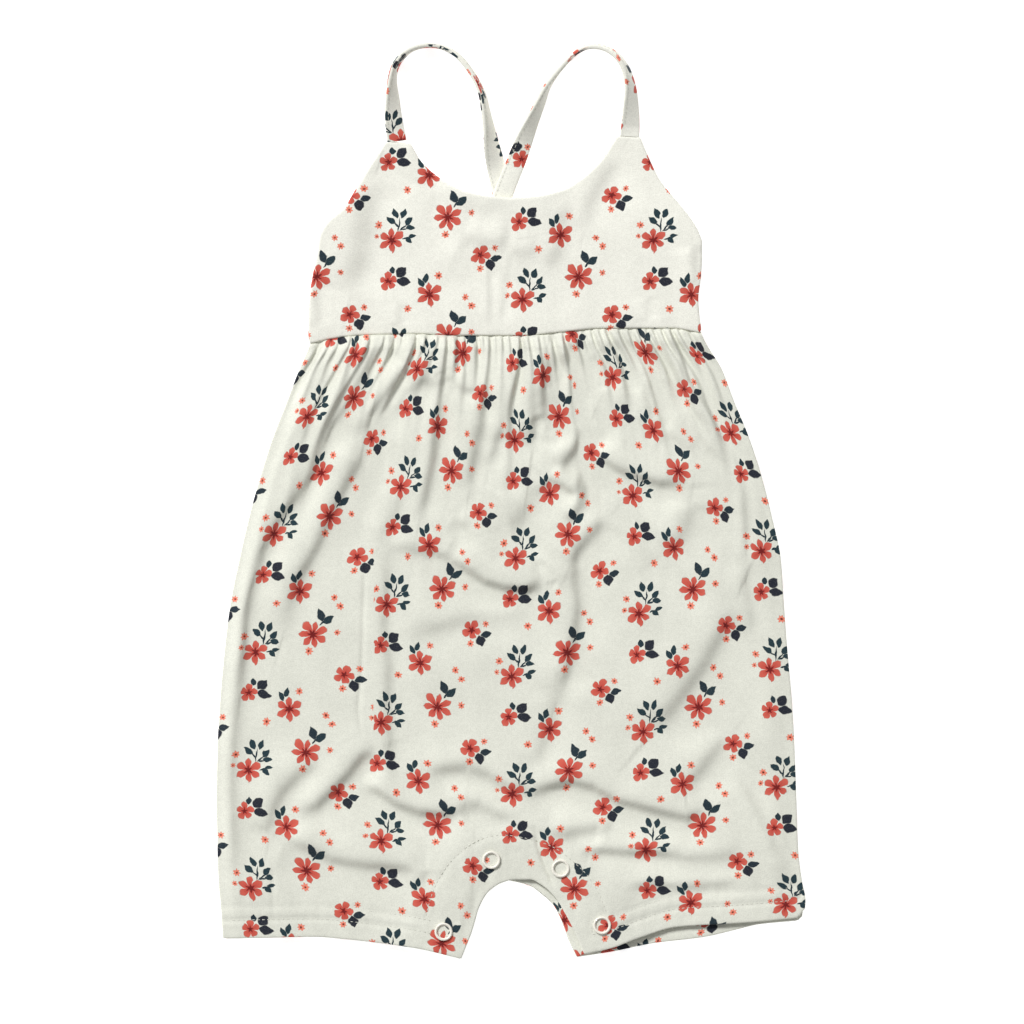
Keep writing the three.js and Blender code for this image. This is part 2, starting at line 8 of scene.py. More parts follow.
import bpy
import numpy as np
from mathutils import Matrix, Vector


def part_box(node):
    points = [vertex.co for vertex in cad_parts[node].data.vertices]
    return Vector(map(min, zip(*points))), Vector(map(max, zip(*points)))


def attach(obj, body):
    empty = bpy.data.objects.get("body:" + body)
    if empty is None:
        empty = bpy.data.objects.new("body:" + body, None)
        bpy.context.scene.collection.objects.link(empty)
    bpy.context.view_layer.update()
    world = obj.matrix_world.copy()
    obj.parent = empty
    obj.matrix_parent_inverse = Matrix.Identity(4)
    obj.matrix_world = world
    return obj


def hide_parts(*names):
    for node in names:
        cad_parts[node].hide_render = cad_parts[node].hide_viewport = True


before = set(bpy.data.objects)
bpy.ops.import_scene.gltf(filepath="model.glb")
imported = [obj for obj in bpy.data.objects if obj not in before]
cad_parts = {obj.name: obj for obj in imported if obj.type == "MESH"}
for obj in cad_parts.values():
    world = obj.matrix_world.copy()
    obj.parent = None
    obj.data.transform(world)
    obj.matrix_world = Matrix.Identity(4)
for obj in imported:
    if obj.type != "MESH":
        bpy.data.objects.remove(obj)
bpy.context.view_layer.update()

# Sizes of the cloth and the seams.
MM = 0.001
PANEL_THICK = 1.6
BODICE_THICK = 2.4
# The back's two panels are this much thinner, to keep clear of what lies on them.
BACK_THINNER = 0.1
SEAM_GAP = 0.3
TURN_UNDER = 4.0
# The gathered edge goes under the bodice at this height.
TUCK_HEIGHT = 3.2
ROLL_STEPS = 6
PLACKET_WIDTH = 24.0
PLACKET_THICK = 1.2
PLACKET_BLEND = 8.0
PLACKET_LOW = PANEL_THICK + SEAM_GAP
PLACKET_RISE = PLACKET_THICK + SEAM_GAP
FRONT_LEAST = PANEL_THICK + SEAM_GAP + PANEL_THICK
WAIST_LEVEL = 91.0

# Hems and the facing's row: how high they lie above the edge, and their grooves and ripples.
HEM_DEPTH = 18.0
HEM_STEP = 0.3
HEM_ROWS = (17.0, 10.0)
HEM_GROOVE = 0.6
HEM_RIPPLE = 0.16
HEM_BOX_AT = 44.5
HEM_SPANS = ((-155, -40), (43, 156))
FACING_ROW = 24.5
FACING_STEP = 0.1
FACING_GROOVE = 0.36
FACING_RIPPLE = 0.14

# Straps: a row of stitches runs inside one edge.
STRAP_WIDTH = 10.5
STRAP_THICK = 1.8
STRAP_WALL = 0.5
STRAP_PUFF = 0.7
STRAP_STATIONS = 260
STRAP_AROUND = 28
STRAP_ROW_IN = 1.6
STRAP_ROW_DEEP = 0.176
STRAP_PITCH = 2.6
STRAP_OTHER_FACE = 12

# Thread: sizes of a stitch, and its shape as places along it with its fatness there.
STITCH_LONG = 1.9
STITCH_RADIUS = 0.27
STRAP_STITCH_RADIUS = 0.16
STITCH_SINK = 0.16
STITCH_PITCH = 2.7
STITCH_AROUND = 6
STITCH_SHAPE = [(-0.5, 0.25), (-0.35, 0.85), (0.0, 1.0), (0.35, 0.85), (0.5, 0.25)]

# Snap rings: places, and the section of a ring as radius and height over the cloth.
SNAPS = [(-10.8, -197.7), (27.3, -202.4), (-37.1, -237.2), (50.1, -233.7)]
SNAP_OUTER = 5.0
SNAP_CLEAR = 0.02
RING_AROUND = 72
RING_PROFILE = [
    (4.98, -0.5), (5.00, 0.10), (4.96, 0.40), (4.84, 0.70), (4.62, 0.94), (4.36, 1.04), (4.10, 1.02),
    (3.88, 0.88), (3.72, 0.62), (3.66, 0.40), (3.50, 0.38), (3.40, 0.15), (3.42, -0.5),
]

# The photograph's frame: real size of a pixel, and where its middle lies on the garment.
PIXEL = 0.55
VIEW_SIDE = 1024 * PIXEL
VIEW_X = 0.55
VIEW_Y = -6.3
CAMERA_HEIGHT = 1.2

# Light and floor: the sun's direction, clockwise from the top of the picture, and its height.
SUN_AZIMUTH = -37
SUN_HEIGHT = 45
SUN_STRENGTH = 3.05
SUN_SOFTNESS = 18
SKY_STRENGTH = 0.33
FLOOR_HALF = 3.0
FLOOR_AT = -0.0008
FLOOR_GLOW = 0.7

# Widths of the knit's ribs and courses.
RIB = 0.9
COURSE = 0.7

# Colours.
CREAM = (0.75, 0.755, 0.668)
# The doubled bodice and the straps get a lighter copy of the same cream: partly doubled cloth, which
# looks whiter, and partly painted light that lifts them above the shorts.
LINED_CREAM_PAINTED_LIGHT = (0.875, 0.87, 0.785)
CORAL_INNER = (0.55, 0.07, 0.05, 1)
CORAL_OUTER = (0.66, 0.13, 0.09, 1)
CORAL_DARK = (0.17, 0.006, 0.006, 1)
PEACH = (0.86, 0.235, 0.155, 1)
PEACH_DARK = (0.13, 0.02, 0.012, 1)
TEAL = (0.011, 0.040, 0.052, 1)
NEAR_BLACK = (0.014, 0.015, 0.027, 1)
ENAMEL_LIGHT = (0.90, 0.87, 0.78, 1)
ENAMEL_DARK = (0.82, 0.79, 0.70, 1)
# Thread colours, darker than the cloth: painted shade of the small dents round each stitch; the twist
# mixes the two at random.
THREAD_LIGHT_SHADED = (0.7, 0.7, 0.62, 1)
THREAD_DARK_SHADED = (0.5, 0.5, 0.43, 1)
FLOOR_WHITE = (0.9, 0.9, 0.9, 1)
WHITE = (1, 1, 1, 1)

# Outlines: y with the left and right sides, or places along an edge, with its corners apart.
SHORTS_SIDES = [
    (96, -109.5, 103), (87, -110.5, 107), (72, -116.5, 116), (55, -123, 122.5), (33, -131.5, 131.5),
    (11, -138.5, 138.5), (-11, -144.5, 144), (-33, -149.5, 148.5), (-55, -154, 150), (-82, -157.5, 152),
    (-110, -160, 154.5), (-137, -161.5, 156), (-165, -162, 157), (-192, -161.5, 158), (-209, -161, 160),
    (-220, -160, 162), (-226, -159.5, 161.5), (-241, -158.5, 158),
]
BODICE_SIDES = [
    (147, -105, 105), (134, -107, 105), (124, -109, 104.5), (111, -111, 103), (103, -111.5, 103.5),
    (93, -111.5, 104.5), (86, -111, 104.5),
]
WAIST = [
    (-112, 86.5), (-101, 89), (-86.5, 91), (-53, 92), (-27.5, 91), (5.5, 91), (28.5, 93), (51, 95),
    (90, 95), (100.5, 93.5), (108, 91.5),
]
BODICE_TOP = [
    (-106, 145), (-102, 152.5), (-91.5, 162), (-85.5, 171.5), (-78, 184), (-69, 197.5), (-56.5, 196.5),
    (-50.5, 186.5), (-40, 177.5), (-28, 171), (-16, 168), (-1, 166.5), (14.5, 167.5), (29, 171),
    (41.5, 178.5), (51.5, 188.5), (59.5, 200.5), (71, 200), (76, 188), (82, 176.5), (94, 162),
    (102, 151), (106, 141.5),
]
BODICE_CORNERS = (-69, -56.5, 59.5, 71)
FRONT_LOW = [
    (-163, -241), (-134, -240.5), (-109, -240), (-89.5, -241.5), (-72, -243.5), (-51.5, -246.5),
    (-28, -252), (-22.5, -238), (-18, -223.5), (-12.5, -215), (-4.5, -210), (2, -208.5), (11, -208.5),
    (18, -212), (25, -218.5), (30, -226.5), (35.5, -237), (41, -249.5), (56, -246), (72, -240),
    (91.5, -234.5), (124, -232.5), (143, -231), (158, -229.5), (163, -223),
]
FRONT_CORNERS = (-28, 41, 158)
BACK_LOW = [
    (-163, -240), (-134, -239.5), (-109, -239), (-72, -242.5), (-51.5, -245.5), (-29, -250.5),
    (-24, -237.5), (-19.5, -222.5), (-13.5, -213.5), (-5, -208.5), (2, -209.5), (11, -212), (18, -217),
    (24, -223), (28, -231), (32, -241.5), (36.5, -251), (56, -248), (78, -243.5), (106.5, -240),
    (124, -236), (137, -233), (158, -231), (163, -226),
]
BACK_CORNERS = (-29, 36.5, 158)
BACK_BODICE_TOP = [(-112, 140), (0, 144), (106, 138)]
# The crotch arch lies between the first two corners of a low edge, at about this level.
LEG_LEVEL = -248.0

# Gathers: place along the waist seam, depth, length below the seam, and how far the fold leans
# across by its end.
GATHERS = [
    (-104.5, 1.3, 34, -4), (-98.5, 1.1, 20, -3), (-93.5, 0.9, 16, -2), (-87.5, 1.4, 46, -8),
    (-83.5, 0.9, 15, -2), (-77, 1.5, 60, -12), (-69, 1.2, 24, -4), (-63.5, 1.3, 42, -8),
    (-59.5, 0.9, 16, -2), (-52, 1.7, 62, -13), (-46, 1, 20, -4), (-39.5, 1.1, 18, -3),
    (-35, 1.6, 48, 0), (-29.5, 1, 18, 0), (-25, 1.2, 30, 1), (-18.5, 1.1, 20, 0), (-15, 0.9, 14, 0),
    (-11.5, 1.2, 34, -2), (-8, 0.9, 14, 0), (-4.5, 1.1, 22, -1), (-0.5, 0.9, 16, 0), (5, 1.7, 50, -7),
    (10, 1, 16, 0), (15.5, 1.2, 26, 0), (22.5, 1.2, 22, 0), (29, 1.7, 52, 1), (36, 1.4, 22, 1),
    (40, 0.8, 14, 1), (45, 1.2, 30, 3), (49.5, 0.8, 14, 1), (53.5, 1.4, 26, 3), (60.5, 1, 18, 2),
    (66, 1.6, 42, 4), (71, 0.9, 14, 1), (75.5, 1.2, 24, 3), (79.5, 0.8, 14, 1), (84, 1.1, 22, 2),
    (89, 1.6, 50, 6), (93.5, 1, 18, 2), (99, 1.3, 34, 3),
]
GATHER_NARROW = 0.95
GATHER_SOFTER = 0.75
GATHER_SPREAD = 0.045
GATHER_LEANS = 0.4
GATHER_HIDES = 1.6
GATHER_DEEPER = 2.2
GATHER_RIGHT = 0.6

# Folds of the front, each by its shaded side: steepness there, width, and the line down its
# middle. The cloth stands higher on the side that faces the light.
FOLDS = [
    (0.5, 4.2, [(-74, 88), (-80, 74), (-89, 57), (-99, 40), (-106, 22)]),
    (0.42, 4.0, [(-103, 30), (-110, 14), (-119, 2), (-129, -12), (-137, -28), (-140, -38)]),
    (0.5, 3.4, [(-58, 76), (-63, 67), (-71, 56), (-77, 46), (-80, 34)]),
    (0.4, 5.0, [(-79, 38), (-83, 22), (-91, 7), (-99, -9), (-106, -25), (-117, -44), (-125, -72)]),
    (0.34, 3.6, [(-43, 68), (-50, 64), (-57, 59), (-62, 51), (-71, 43)]),
    (0.28, 2.4, [(-33, 70), (-30, 64), (-25, 61), (-17, 60)]),
    (0.26, 2.2, [(-99, 83), (-106, 71), (-111, 61), (-117, 50)]),
    (0.18, 2.0, [(-92, 84), (-98, 72), (-104, 60)]),
    (0.34, 3.2, [(-17, 60), (-18, 42), (-20, 26), (-23, 6)]),
    (0.3, 3.0, [(-35, 62), (-38, 44), (-42, 24), (-47, 2), (-50, -10)]),
    (0.32, 2.6, [(2, 72), (-2, 56), (-5, 44), (-9, 28), (-12, 18)]),
    (0.15, 4.0, [(-59, 8), (-64, -8), (-71, -22)]),
    (0.3, 3.0, [(-31, -9), (-24, -15), (-18, -24), (-13, -35)]),
    (0.28, 3.2, [(-67, -24), (-52, -28), (-40, -30), (-32, -33)]),
    (0.72, 4.0, [(-36, -32), (-25, -38), (-14, -45), (-3, -48), (8, -49), (18, -46)]),
    (0.17, 4.5, [(-56, -72), (-40, -70), (-22, -66), (-4, -65), (8, -61), (16, -53)]),
    (0.3, 2.6, [(31, 88), (31, 76), (33, 63), (32, 52)]),
    (0.1, 6.0, [(36, 74), (42, 66), (44, 58)]),
    (0.3, 8.0, [(20, 82), (18, 64), (14, 46), (12, 30)]),
    (0.5, 3.2, [(43, 42), (39, 33), (33, 25), (26, 17)]),
    (0.5, 2.6, [(20, 13), (26, 9), (31, 6), (37, 4)]),
    (0.34, 3.2, [(40, 20), (41, 8), (39, -2), (34, -8), (28, -12)]),
    (0.58, 3.8, [(44, 29), (50, 22), (58, 17), (68, 13), (82, 9), (97, 9)]),
    (0.24, 1.8, [(9, 42), (13, 45), (18, 46), (21, 44)]),
    (0.24, 2.2, [(13, 38), (17, 34), (23, 33), (27, 35)]),
    (0.3, 2.6, [(55, 94), (58, 84), (60, 74), (64, 62), (68, 50)]),
    (0.34, 3.0, [(67, 93), (71, 84), (79, 80), (88, 71), (95, 58), (101, 43), (108, 29), (119, 19)]),
    (0.22, 2.6, [(83, 38), (91, 33), (100, 26)]),
    (0.24, 2.0, [(89, 94), (94, 80), (99, 65), (106, 52), (114, 43)]),
    (0.22, 2.0, [(119, 36), (124, 23), (128, 6), (129, -14), (129, -36)]),
    (0.16, 3.0, [(73, 64), (75, 54), (77, 44)]),
    (0.34, 4.4, [(53, -10), (46, -18), (38, -27), (33, -36)]),
    (0.18, 5.0, [(99, -1), (98, -10), (93, -20), (84, -28)]),
    (0.18, 5.0, [(8, 8), (9, -2), (4, -10), (-3, -13)]),
    (0.4, 4.0, [(-138, -30), (-143, -48), (-146, -64), (-147, -82), (-149, -104)]),
    (0.22, 5.0, [(-147, -84), (-149, -106), (-153, -134), (-154, -160), (-152, -184), (-150, -204)]),
    (0.24, 3.6, [(-71, -22), (-68, -46), (-70, -70), (-67, -90), (-68, -112), (-66, -140), (-64, -158)]),
    (0.34, 3.6, [(34, -24), (35, -42), (37, -58), (35, -74), (31, -94), (26, -108)]),
    (0.2, 1.8, [(12, -33), (19, -35), (25, -42), (26, -49)]),
    (0.16, 4.0, [(24, -104), (22, -120), (17, -136), (13, -147)]),
    (0.2, 3.0, [(129, -34), (129, -48), (132, -62), (134, -76)]),
    (0.28, 8.0, [(123, -56), (115, -74), (107, -89), (98, -102), (88, -115), (78, -127)]),
    (0.24, 4.6, [(120, -130), (112, -140), (104, -149), (96, -158)]),
    (0.3, 4.2, [(-104, -142), (-117, -151), (-126, -161), (-131, -172), (-133, -184)]),
    (0.44, 4.0, [(-73, -137), (-82, -141), (-89, -150), (-97, -159), (-106, -168), (-119, -173)]),
    (0.62, 3.2, [(-83, -157), (-73, -161), (-62, -168), (-50, -172), (-38, -173), (-27, -172)]),
    (0.3, 3.4, [(-30, -172), (-24, -168), (-18, -168), (-9, -173), (4, -177)]),
    (0.36, 3.6, [(-47, -149), (-36, -148), (-24, -147), (-13, -151), (-1, -158), (8, -160)]),
    (0.62, 3.6, [(9, -161), (20, -158), (33, -155), (45, -158), (60, -166),
        (80, -171), (97, -175), (107, -171)]),
    (0.42, 4.6, [(-124, -186), (-113, -191), (-99, -198), (-80, -201), (-62, -202), (-48, -204)]),
    (0.2, 3.0, [(-46, -203), (-50, -209), (-56, -214)]),
    (0.3, 3.6, [(20, -182), (30, -184), (39, -182), (47, -181), (53, -185)]),
    (0.46, 2.6, [(36, -194), (50, -193), (64, -194), (78, -194), (92, -196)]),
    (0.2, 4.0, [(80, -195), (98, -197), (114, -196), (128, -194)]),
    (0.32, 2.4, [(62, -212), (78, -212), (95, -213), (110, -212), (127, -211)]),
    (0.26, 3.2, [(121, -146), (130, -160), (138, -176), (146, -192), (155, -205), (161, -212)]),
    (0.2, 2.6, [(150, -176), (153, -188), (157, -201)]),
]
FOLD_STEEPER = 2.2
FOLD_WIDER = 2.1
FOLD_REACH = 3.5
FOLD_LIMIT = 3.0
# Roughly where the light comes from, across the picture; it tells a fold's lit side.
LIGHT_FROM = (-0.53, 0.85)
# Narrow valleys: depth, width on the left and on the right as one walks, and the line.
VALLEYS = [
    (-0.6, 1.3, 1.3, [(-80, -22), (-81, -60), (-82, -95), (-84, -114), (-82, -130)]),
    (-0.4, 1.4, 1.4, [(-131, -198), (-131, -212), (-131, -226), (-131, -240)]),
    (-0.5, 1.5, 2.0, [(-72, 93), (-74, 82), (-78, 72), (-83, 62)]),
    (-1.6, 2.2, 1.4, [(52, 94), (58, 85), (64, 74), (69, 62)]),
    (-2.2, 3.4, 1.6, [(76, 92), (84, 76), (90, 66), (96, 55), (103, 43), (110, 32)]),
    (-1.8, 2.4, 1.3, [(90, 95), (95, 78), (99, 66), (106, 55), (115, 40), (122, 26)]),
    (-1.2, 1.8, 1.2, [(42, 95), (46, 84), (49, 72), (50, 60)]),
]
CROTCH_CREASE = (-1.3, 1.9, 1.1, [(13, -181), (15, -190), (18, -199), (21.5, -207), (24, -212)])
# The smooth bodice's few soft dents, in the form of the folds.
BODICE_FOLDS = [
    (0.2, 7.0, [(-75, 177), (-80, 159), (-83, 136), (-88, 114)]),
    (0.14, 4.0, [(-65, 192), (-58, 183), (-49, 172)]),
    (0.12, 5.0, [(-42, 171), (-31, 165), (-20, 161), (-4, 159)]),
    (0.2, 4.2, [(-27, 146), (-18, 142), (-9, 141), (1, 143)]),
    (0.14, 4.0, [(-2, 137), (7, 136), (16, 140)]),
    (0.2, 1.8, [(-13, 129), (-12, 116), (-12, 95)]),
    (0.14, 1.6, [(-5, 125), (-4, 111), (-6, 98)]),
    (0.12, 3.4, [(34, 165), (28, 156), (26, 138), (20, 127)]),
    (0.17, 4.4, [(59, 190), (50, 176), (43, 163), (40, 149)]),
    (0.3, 2.6, [(100, 140), (101, 129), (103, 118)]),
    (0.2, 2.6, [(-107, 121), (-107, 108), (-106, 95)]),
    (0.14, 2.2, [(-62, 108), (-61, 96)]),
    (0.14, 2.2, [(74, 112), (76, 99)]),
]
BODICE_SOFTER = 0.75

# Fullness of the gathered front: its height at the seam, gained below it, and lost farther down.
FULL_AT_SEAM = 2.2
FULL_GAIN = 2.7
FULL_LOSS = 2.4
# How far in the left and right sides are rounded down.
SIDE_ROUND_LEFT = 9
SIDE_ROUND_RIGHT = 17
SIDE_ROUND_OUT = -1.5
LEAST_LOFT = 0.8
# Lumps of unevenness: height, size and seed.
SHORTS_UNEVEN = [(0.4, 19, 3), (0.1, 7, 4)]
BODICE_UNEVEN = [(0.22, 24, 7), (0.07, 9, 8)]
# Puckers drawn down from the waist seam: height, fade, stretch along, size and seed.
PUCKERS = [(1.9, 48, 11, 3.6, 12), (1.3, 80, 9, 7.5, 13)]
NOISE_CELLS = 96
EDGE_PASSES = 14

# Straps: place, roll in degrees, and the least height of the middle.
LEFT_STRAP = [
    (-62.8, 197.5, 0, 1.9), (-64.4, 208, 22, 2.4), (-65.2, 219, 42, 2.4), (-65.3, 231, 68, 2.4),
    (-63, 240, 76, 2.4), (-57, 247, 82, 2.4), (-48, 250.4, 86, 2.4), (-38, 249.7, 88, 2.4),
    (-29, 244.3, 92, 2.4), (-21.5, 235, 97, 2.4), (-16.5, 225, 102, 2.4), (-13.8, 214, 111, 2.4),
    (-12, 204, 124, 2), (-10.2, 193, 148, 1.2), (-7.8, 181.5, 176, 1), (-5.4, 170.5, 180, 1),
    (-1.8, 148, 180, 1),
]
RIGHT_STRAP = [
    (65.2, 200.2, 0, 1.9), (65.7, 208, 20, 2.4), (65.9, 217, 38, 2.4), (65.5, 227, 58, 2.4),
    (63.5, 236.5, 72, 2.4), (58.5, 244.5, 79, 2.4), (50.5, 249.3, 84, 2.4), (41.5, 249.5, 87, 2.4),
    (33.5, 244.4, 90, 2.4), (26, 236.5, 94, 2.4), (20, 228, 102, 2.4), (16, 219, 116, 2.6),
    (11.8, 209, 132, 3), (7.2, 198, 154, 3.2), (2.2, 185, 178, 3.2), (-3.3, 171, 180, 3.2),
    (-11.5, 148, 180, 3.2),
]

# The print's repeat: columns a set distance apart, each a half drop from the next.
REPEAT_ACROSS = 72.0
REPEAT_ALONG = 65.45
SHORTS_CLOTH_HALF = 158.0
SHORTS_PRINT_AT = (0.018, 32.2)
SHORTS_PRINT_STRETCH = 1.008
BODICE_PRINT_AT = (5.9, 110.5)
PLACKET_PRINT_AT = (-8.0, 200.9)
BACK_SHORTS_SLIDE = (20, 31)
BACK_BODICE_SLIDE = (33, 12)
# What a millimetre of cloth counts on the map that places the print.
MAP_PER_MM = 0.01
# A motif's own number rides on its third coordinate, so small that it hardly counts in a distance.
PETAL_CODE = 0.001
DARK_CODE = 0.05
# Half a petal, and whole ones enough to keep the count above zero.
PETAL_START = 20.5
# A small flower's turn in degrees for a millimetre across, and how far the ink's edges wander.
SMALL_TURN = 37
WANDER = 1.7

# Flowers: place in the repeat, radius, petals and turn in degrees.
FLOWERS = {
    "pointed": (0.4, 0, 7.7, 6, 92),
    "round": (-1.4, -22.7, 5.5, 5, 92),
    "star": (21.2, -29.8, 7.8, 6, 94),
    "large": (31.3, 12.5, 8.8, 7, 80),
    "plain": (49.5, -8.2, 5.9, 5, 66),
}
# Leaves and stems, from their flower's middle: place, turn, length, width and darkness.
LEAVES = {
    "pointed": [
        (1.9, 14.8, 113, 6.4, 3.5, 0.2), (6.6, 14.7, 71, 6.2, 3.5, 0.2),
        (-0.4, 10.9, 145, 6.4, 3.4, 0.2), (9.4, 10.3, 51, 6, 3.4, 0.2), (10.4, 6.9, -5, 5.4, 3.1, 0.2),
        (11.2, 2.4, 10, 4.9, 2.3, 0.2), (9.5, 0, -45, 4.6, 3.3, 0.2), (4.1, 8.6, 84, 9, 1, 0.4),
        (2.5, 8.5, 137, 5.2, 1, 0.4), (6.6, 7, 44, 6, 1, 0.4), (7.3, 5.9, 18, 4.6, 1, 0.4),
        (7.8, 1.2, 18, 4.2, 1, 0.4),
    ],
    "round": [
        (2.2, 6.2, 94, 4.5, 3.3, 0.4), (7.3, 5.2, 46, 7.3, 5.8, 0.9), (8.6, -0.1, -6, 8.6, 5.2, 0.9),
    ],
    "star": [
        (-4.7, 6.8, 121, 6.2, 3.2, 0.2), (-1.9, 9, 79, 6, 3.2, 0.2),
    ],
    "large": [
        (3.3, 11.2, 112, 8, 4.5, 0.5), (7.7, 9, 42, 7.3, 4.3, 0.3), (4.5, 7, 60, 4.6, 1, 0.5),
    ],
    "plain": [
        (8.6, -1.7, 11, 6.7, 3.9, 0.6), (5.2, -5.6, -76, 6.7, 5.8, 0.9),
    ],
}
# Small flowers, from their flower's middle: place and radius.
SMALL_FLOWERS = {
    "pointed": [(-7.1, 8.3, 2.3), (-8.3, 2.2, 1.7)],
    "star": [(5.0, 10.3, 2.3), (19.8, -1.6, 2.1), (23.2, -6.2, 2.2), (-12.0, -8.0, 2.4)],
    "large": [(13.1, 2.4, 2.0), (-1.3, -9.3, 2.4)],
    "plain": [(7.8, 4.0, 2.1), (-0.4, -7.6, 2.2)],
}
# Where the flowers leave the even repeat on the gathered shorts: column and rise.
PRINT_RISE = [(-1, -15.5), (-0.888, -14.3), (-0.442, -8), (0.02, -1), (0.473, -3), (0.932, -5), (1, -5)]
PLEAT_AT = -75.5
PLEAT_HIDES = 3.5


def smooth(start, end, value):
    """From 0 at the start to 1 at the end, with soft ends."""
    t = np.clip((value - start) / (end - start), 0, 1)
    return t * t * (3 - 2 * t)


def bell(value, width):
    """One in the middle, falling off softly over a width."""
    return np.exp(-((value / width) ** 2))


def circle(count):
    """Angles evenly round a circle."""
    return np.linspace(0, 2 * math.pi, count, endpoint=False)


def through(xs, ys, corners=()):
    """A smooth function through rows that never swings past one and keeps the marked corners."""
    order = np.argsort(xs)
    xs = np.asarray(xs, float)[order]
    ys = np.asarray(ys, float)[order]
    widths = np.diff(xs)
    slants = np.diff(ys) / widths
    before = np.concatenate([[0], slants])
    after = np.concatenate([slants, [0]])
    product = before * after
    total = np.where(product > 0, before + after, 1)
    shared = np.where(product > 0, 2 * product / total, 0)
    free = np.isin(xs, corners)
    free[[0, -1]] = True

    def value(at):
        at = np.asarray(at, float)
        i = np.clip(np.searchsorted(xs, at, side="left") - 1, 0, len(widths) - 1)
        t = np.clip((at - xs[i]) / widths[i], 0, 1)
        first = np.where(free[i], slants[i], shared[i])
        last = np.where(free[i + 1], slants[i], shared[i + 1])
        straight = ys[i] + (ys[i + 1] - ys[i]) * t
        bend = (1 - t) * (first - slants[i]) - t * (last - slants[i])
        return straight + t * (1 - t) * widths[i] * bend

    return value


class Outline:
    """A panel's sides and edges, with its columns numbered from -1 at the left to 1."""

    def __init__(self, sides, top, low, corners, inset=0.0):
        y, left, right = zip(*sides)
        self.left = through(y, left)
        self.right = through(y, right)
        self.top = through(*zip(*top), corners)
        self.low = through(*zip(*low), corners)
        self.inset = inset

    def half(self, y):
        return (self.right(y) - self.left(y)) / 2 - self.inset

    def across(self, s, y):
        return (self.left(y) + self.right(y)) / 2 + s * self.half(y)

    def column(self, x, y):
        return (x - (self.left(y) + self.right(y)) / 2) / self.half(y)

    def edge(self, s, rule):
        """Where each column meets an edge, found in steps, as the columns lean."""
        y = rule(self.across(s, np.zeros_like(s)))
        for _ in range(EDGE_PASSES):
            y = rule(self.across(s, y))
        return y


def nearest_on(line, x, y):
    """How far off a line a place is, on which side, and how far along it, from 0 to 1."""
    gap = np.full(np.shape(x), np.inf)
    side = np.zeros(np.shape(x))
    along = np.zeros(np.shape(x))
    for i, ((ax, ay), (bx, by)) in enumerate(zip(line, line[1:])):
        dx, dy = bx - ax, by - ay
        t = np.clip(((x - ax) * dx + (y - ay) * dy) / (dx * dx + dy * dy), 0, 1)
        away = np.hypot(x - ax - t * dx, y - ay - t * dy)
        nearer = away < gap
        gap = np.where(nearer, away, gap)
        side = np.where(nearer, dx * (y - ay) - dy * (x - ax), side)
        along = np.where(nearer, (i + t) / (len(line) - 1), along)
    return gap, side, along


def valley_height(valley, x, y):
    """A narrow valley: full along its line, and soft at its ends."""
    high, left, right, line = valley
    gap, side, along = nearest_on(line, x, y)
    ends = smooth(-0.1, 0.25, along) * smooth(1.1, 0.75, along)
    return high * ends * bell(gap, np.where(side > 0, left, right))


def fold_height(fold, x, y):
    """A fold by its shaded side: high towards the light, low beyond, and flat farther off."""
    steep, narrow, line = fold
    width = narrow * FOLD_WIDER
    dx, dy = line[-1][0] - line[0][0], line[-1][1] - line[0][1]
    lit_side = 1 if dy * LIGHT_FROM[0] - dx * LIGHT_FROM[1] < 0 else -1
    gap, side, along = nearest_on(line, x, y)
    ends = smooth(-0.05, 0.22, along) * smooth(1.05, 0.78, along)
    near = (1 + (gap / width) ** 2) ** -1.5 * bell(gap / width, FOLD_REACH)
    return FOLD_STEEPER * steep * (np.sign(side) * lit_side * gap) * ends * near


def soft_noise(x, y, size, seed):
    """Smooth seeded unevenness from -1 to 1, with lumps of one size."""
    grid = np.random.default_rng(seed).uniform(-1, 1, (NOISE_CELLS, NOISE_CELLS))
    u = x / size + NOISE_CELLS // 2
    v = y / size + NOISE_CELLS // 2
    i = np.floor(u).astype(int) % (NOISE_CELLS - 1)
    j = np.floor(v).astype(int) % (NOISE_CELLS - 1)
    a = smooth(0, 1, u - np.floor(u))
    b = smooth(0, 1, v - np.floor(v))
    low = grid[j, i] * (1 - a) + grid[j, i + 1] * a
    high = grid[j + 1, i] * (1 - a) + grid[j + 1, i + 1] * a
    return low * (1 - b) + high * b


def unevenness(x, y, lumps):
    return sum(high * soft_noise(x, y, size, seed) for high, size, seed in lumps)


front = Outline(SHORTS_SIDES, WAIST, FRONT_LOW, FRONT_CORNERS)
back = Outline(SHORTS_SIDES, WAIST, BACK_LOW, BACK_CORNERS, 1.0)
bodice = Outline(BODICE_SIDES, BODICE_TOP, WAIST, BODICE_CORNERS)
bodice_back = Outline(BODICE_SIDES, BACK_BODICE_TOP, WAIST, (), 1.0)
ARCH_LINE = [(x, y) for x, y in BACK_LOW if BACK_CORNERS[0] <= x <= BACK_CORNERS[1]]


def gather_away(gather, s, y, below):
    """How far a place lies from a gather's leaning middle line."""
    at, _, long, lean = gather
    return (s - front.column(at, WAIST_LEVEL)) * front.half(y) - lean * smooth(0, long, below)


def gather_depth(s, y, below):
    """How far the cloth sinks between the gathers' soft ridges."""
    start = 0.8 + 0.2 * smooth(0, 8, below)
    wide = GATHER_NARROW + GATHER_SOFTER * smooth(1, 14, below) + GATHER_SPREAD * below
    depth = np.zeros(np.shape(s))
    for gather in GATHERS:
        _, deep, long, _ = gather
        away = gather_away(gather, s, y, below)
        fade = 1 - smooth(long * 0.5, long * 2.1, below)
        width = wide * (1 + GATHER_LEANS * np.tanh(away / wide))
        depth = depth + deep * start * fade * bell(away, width)
    return depth


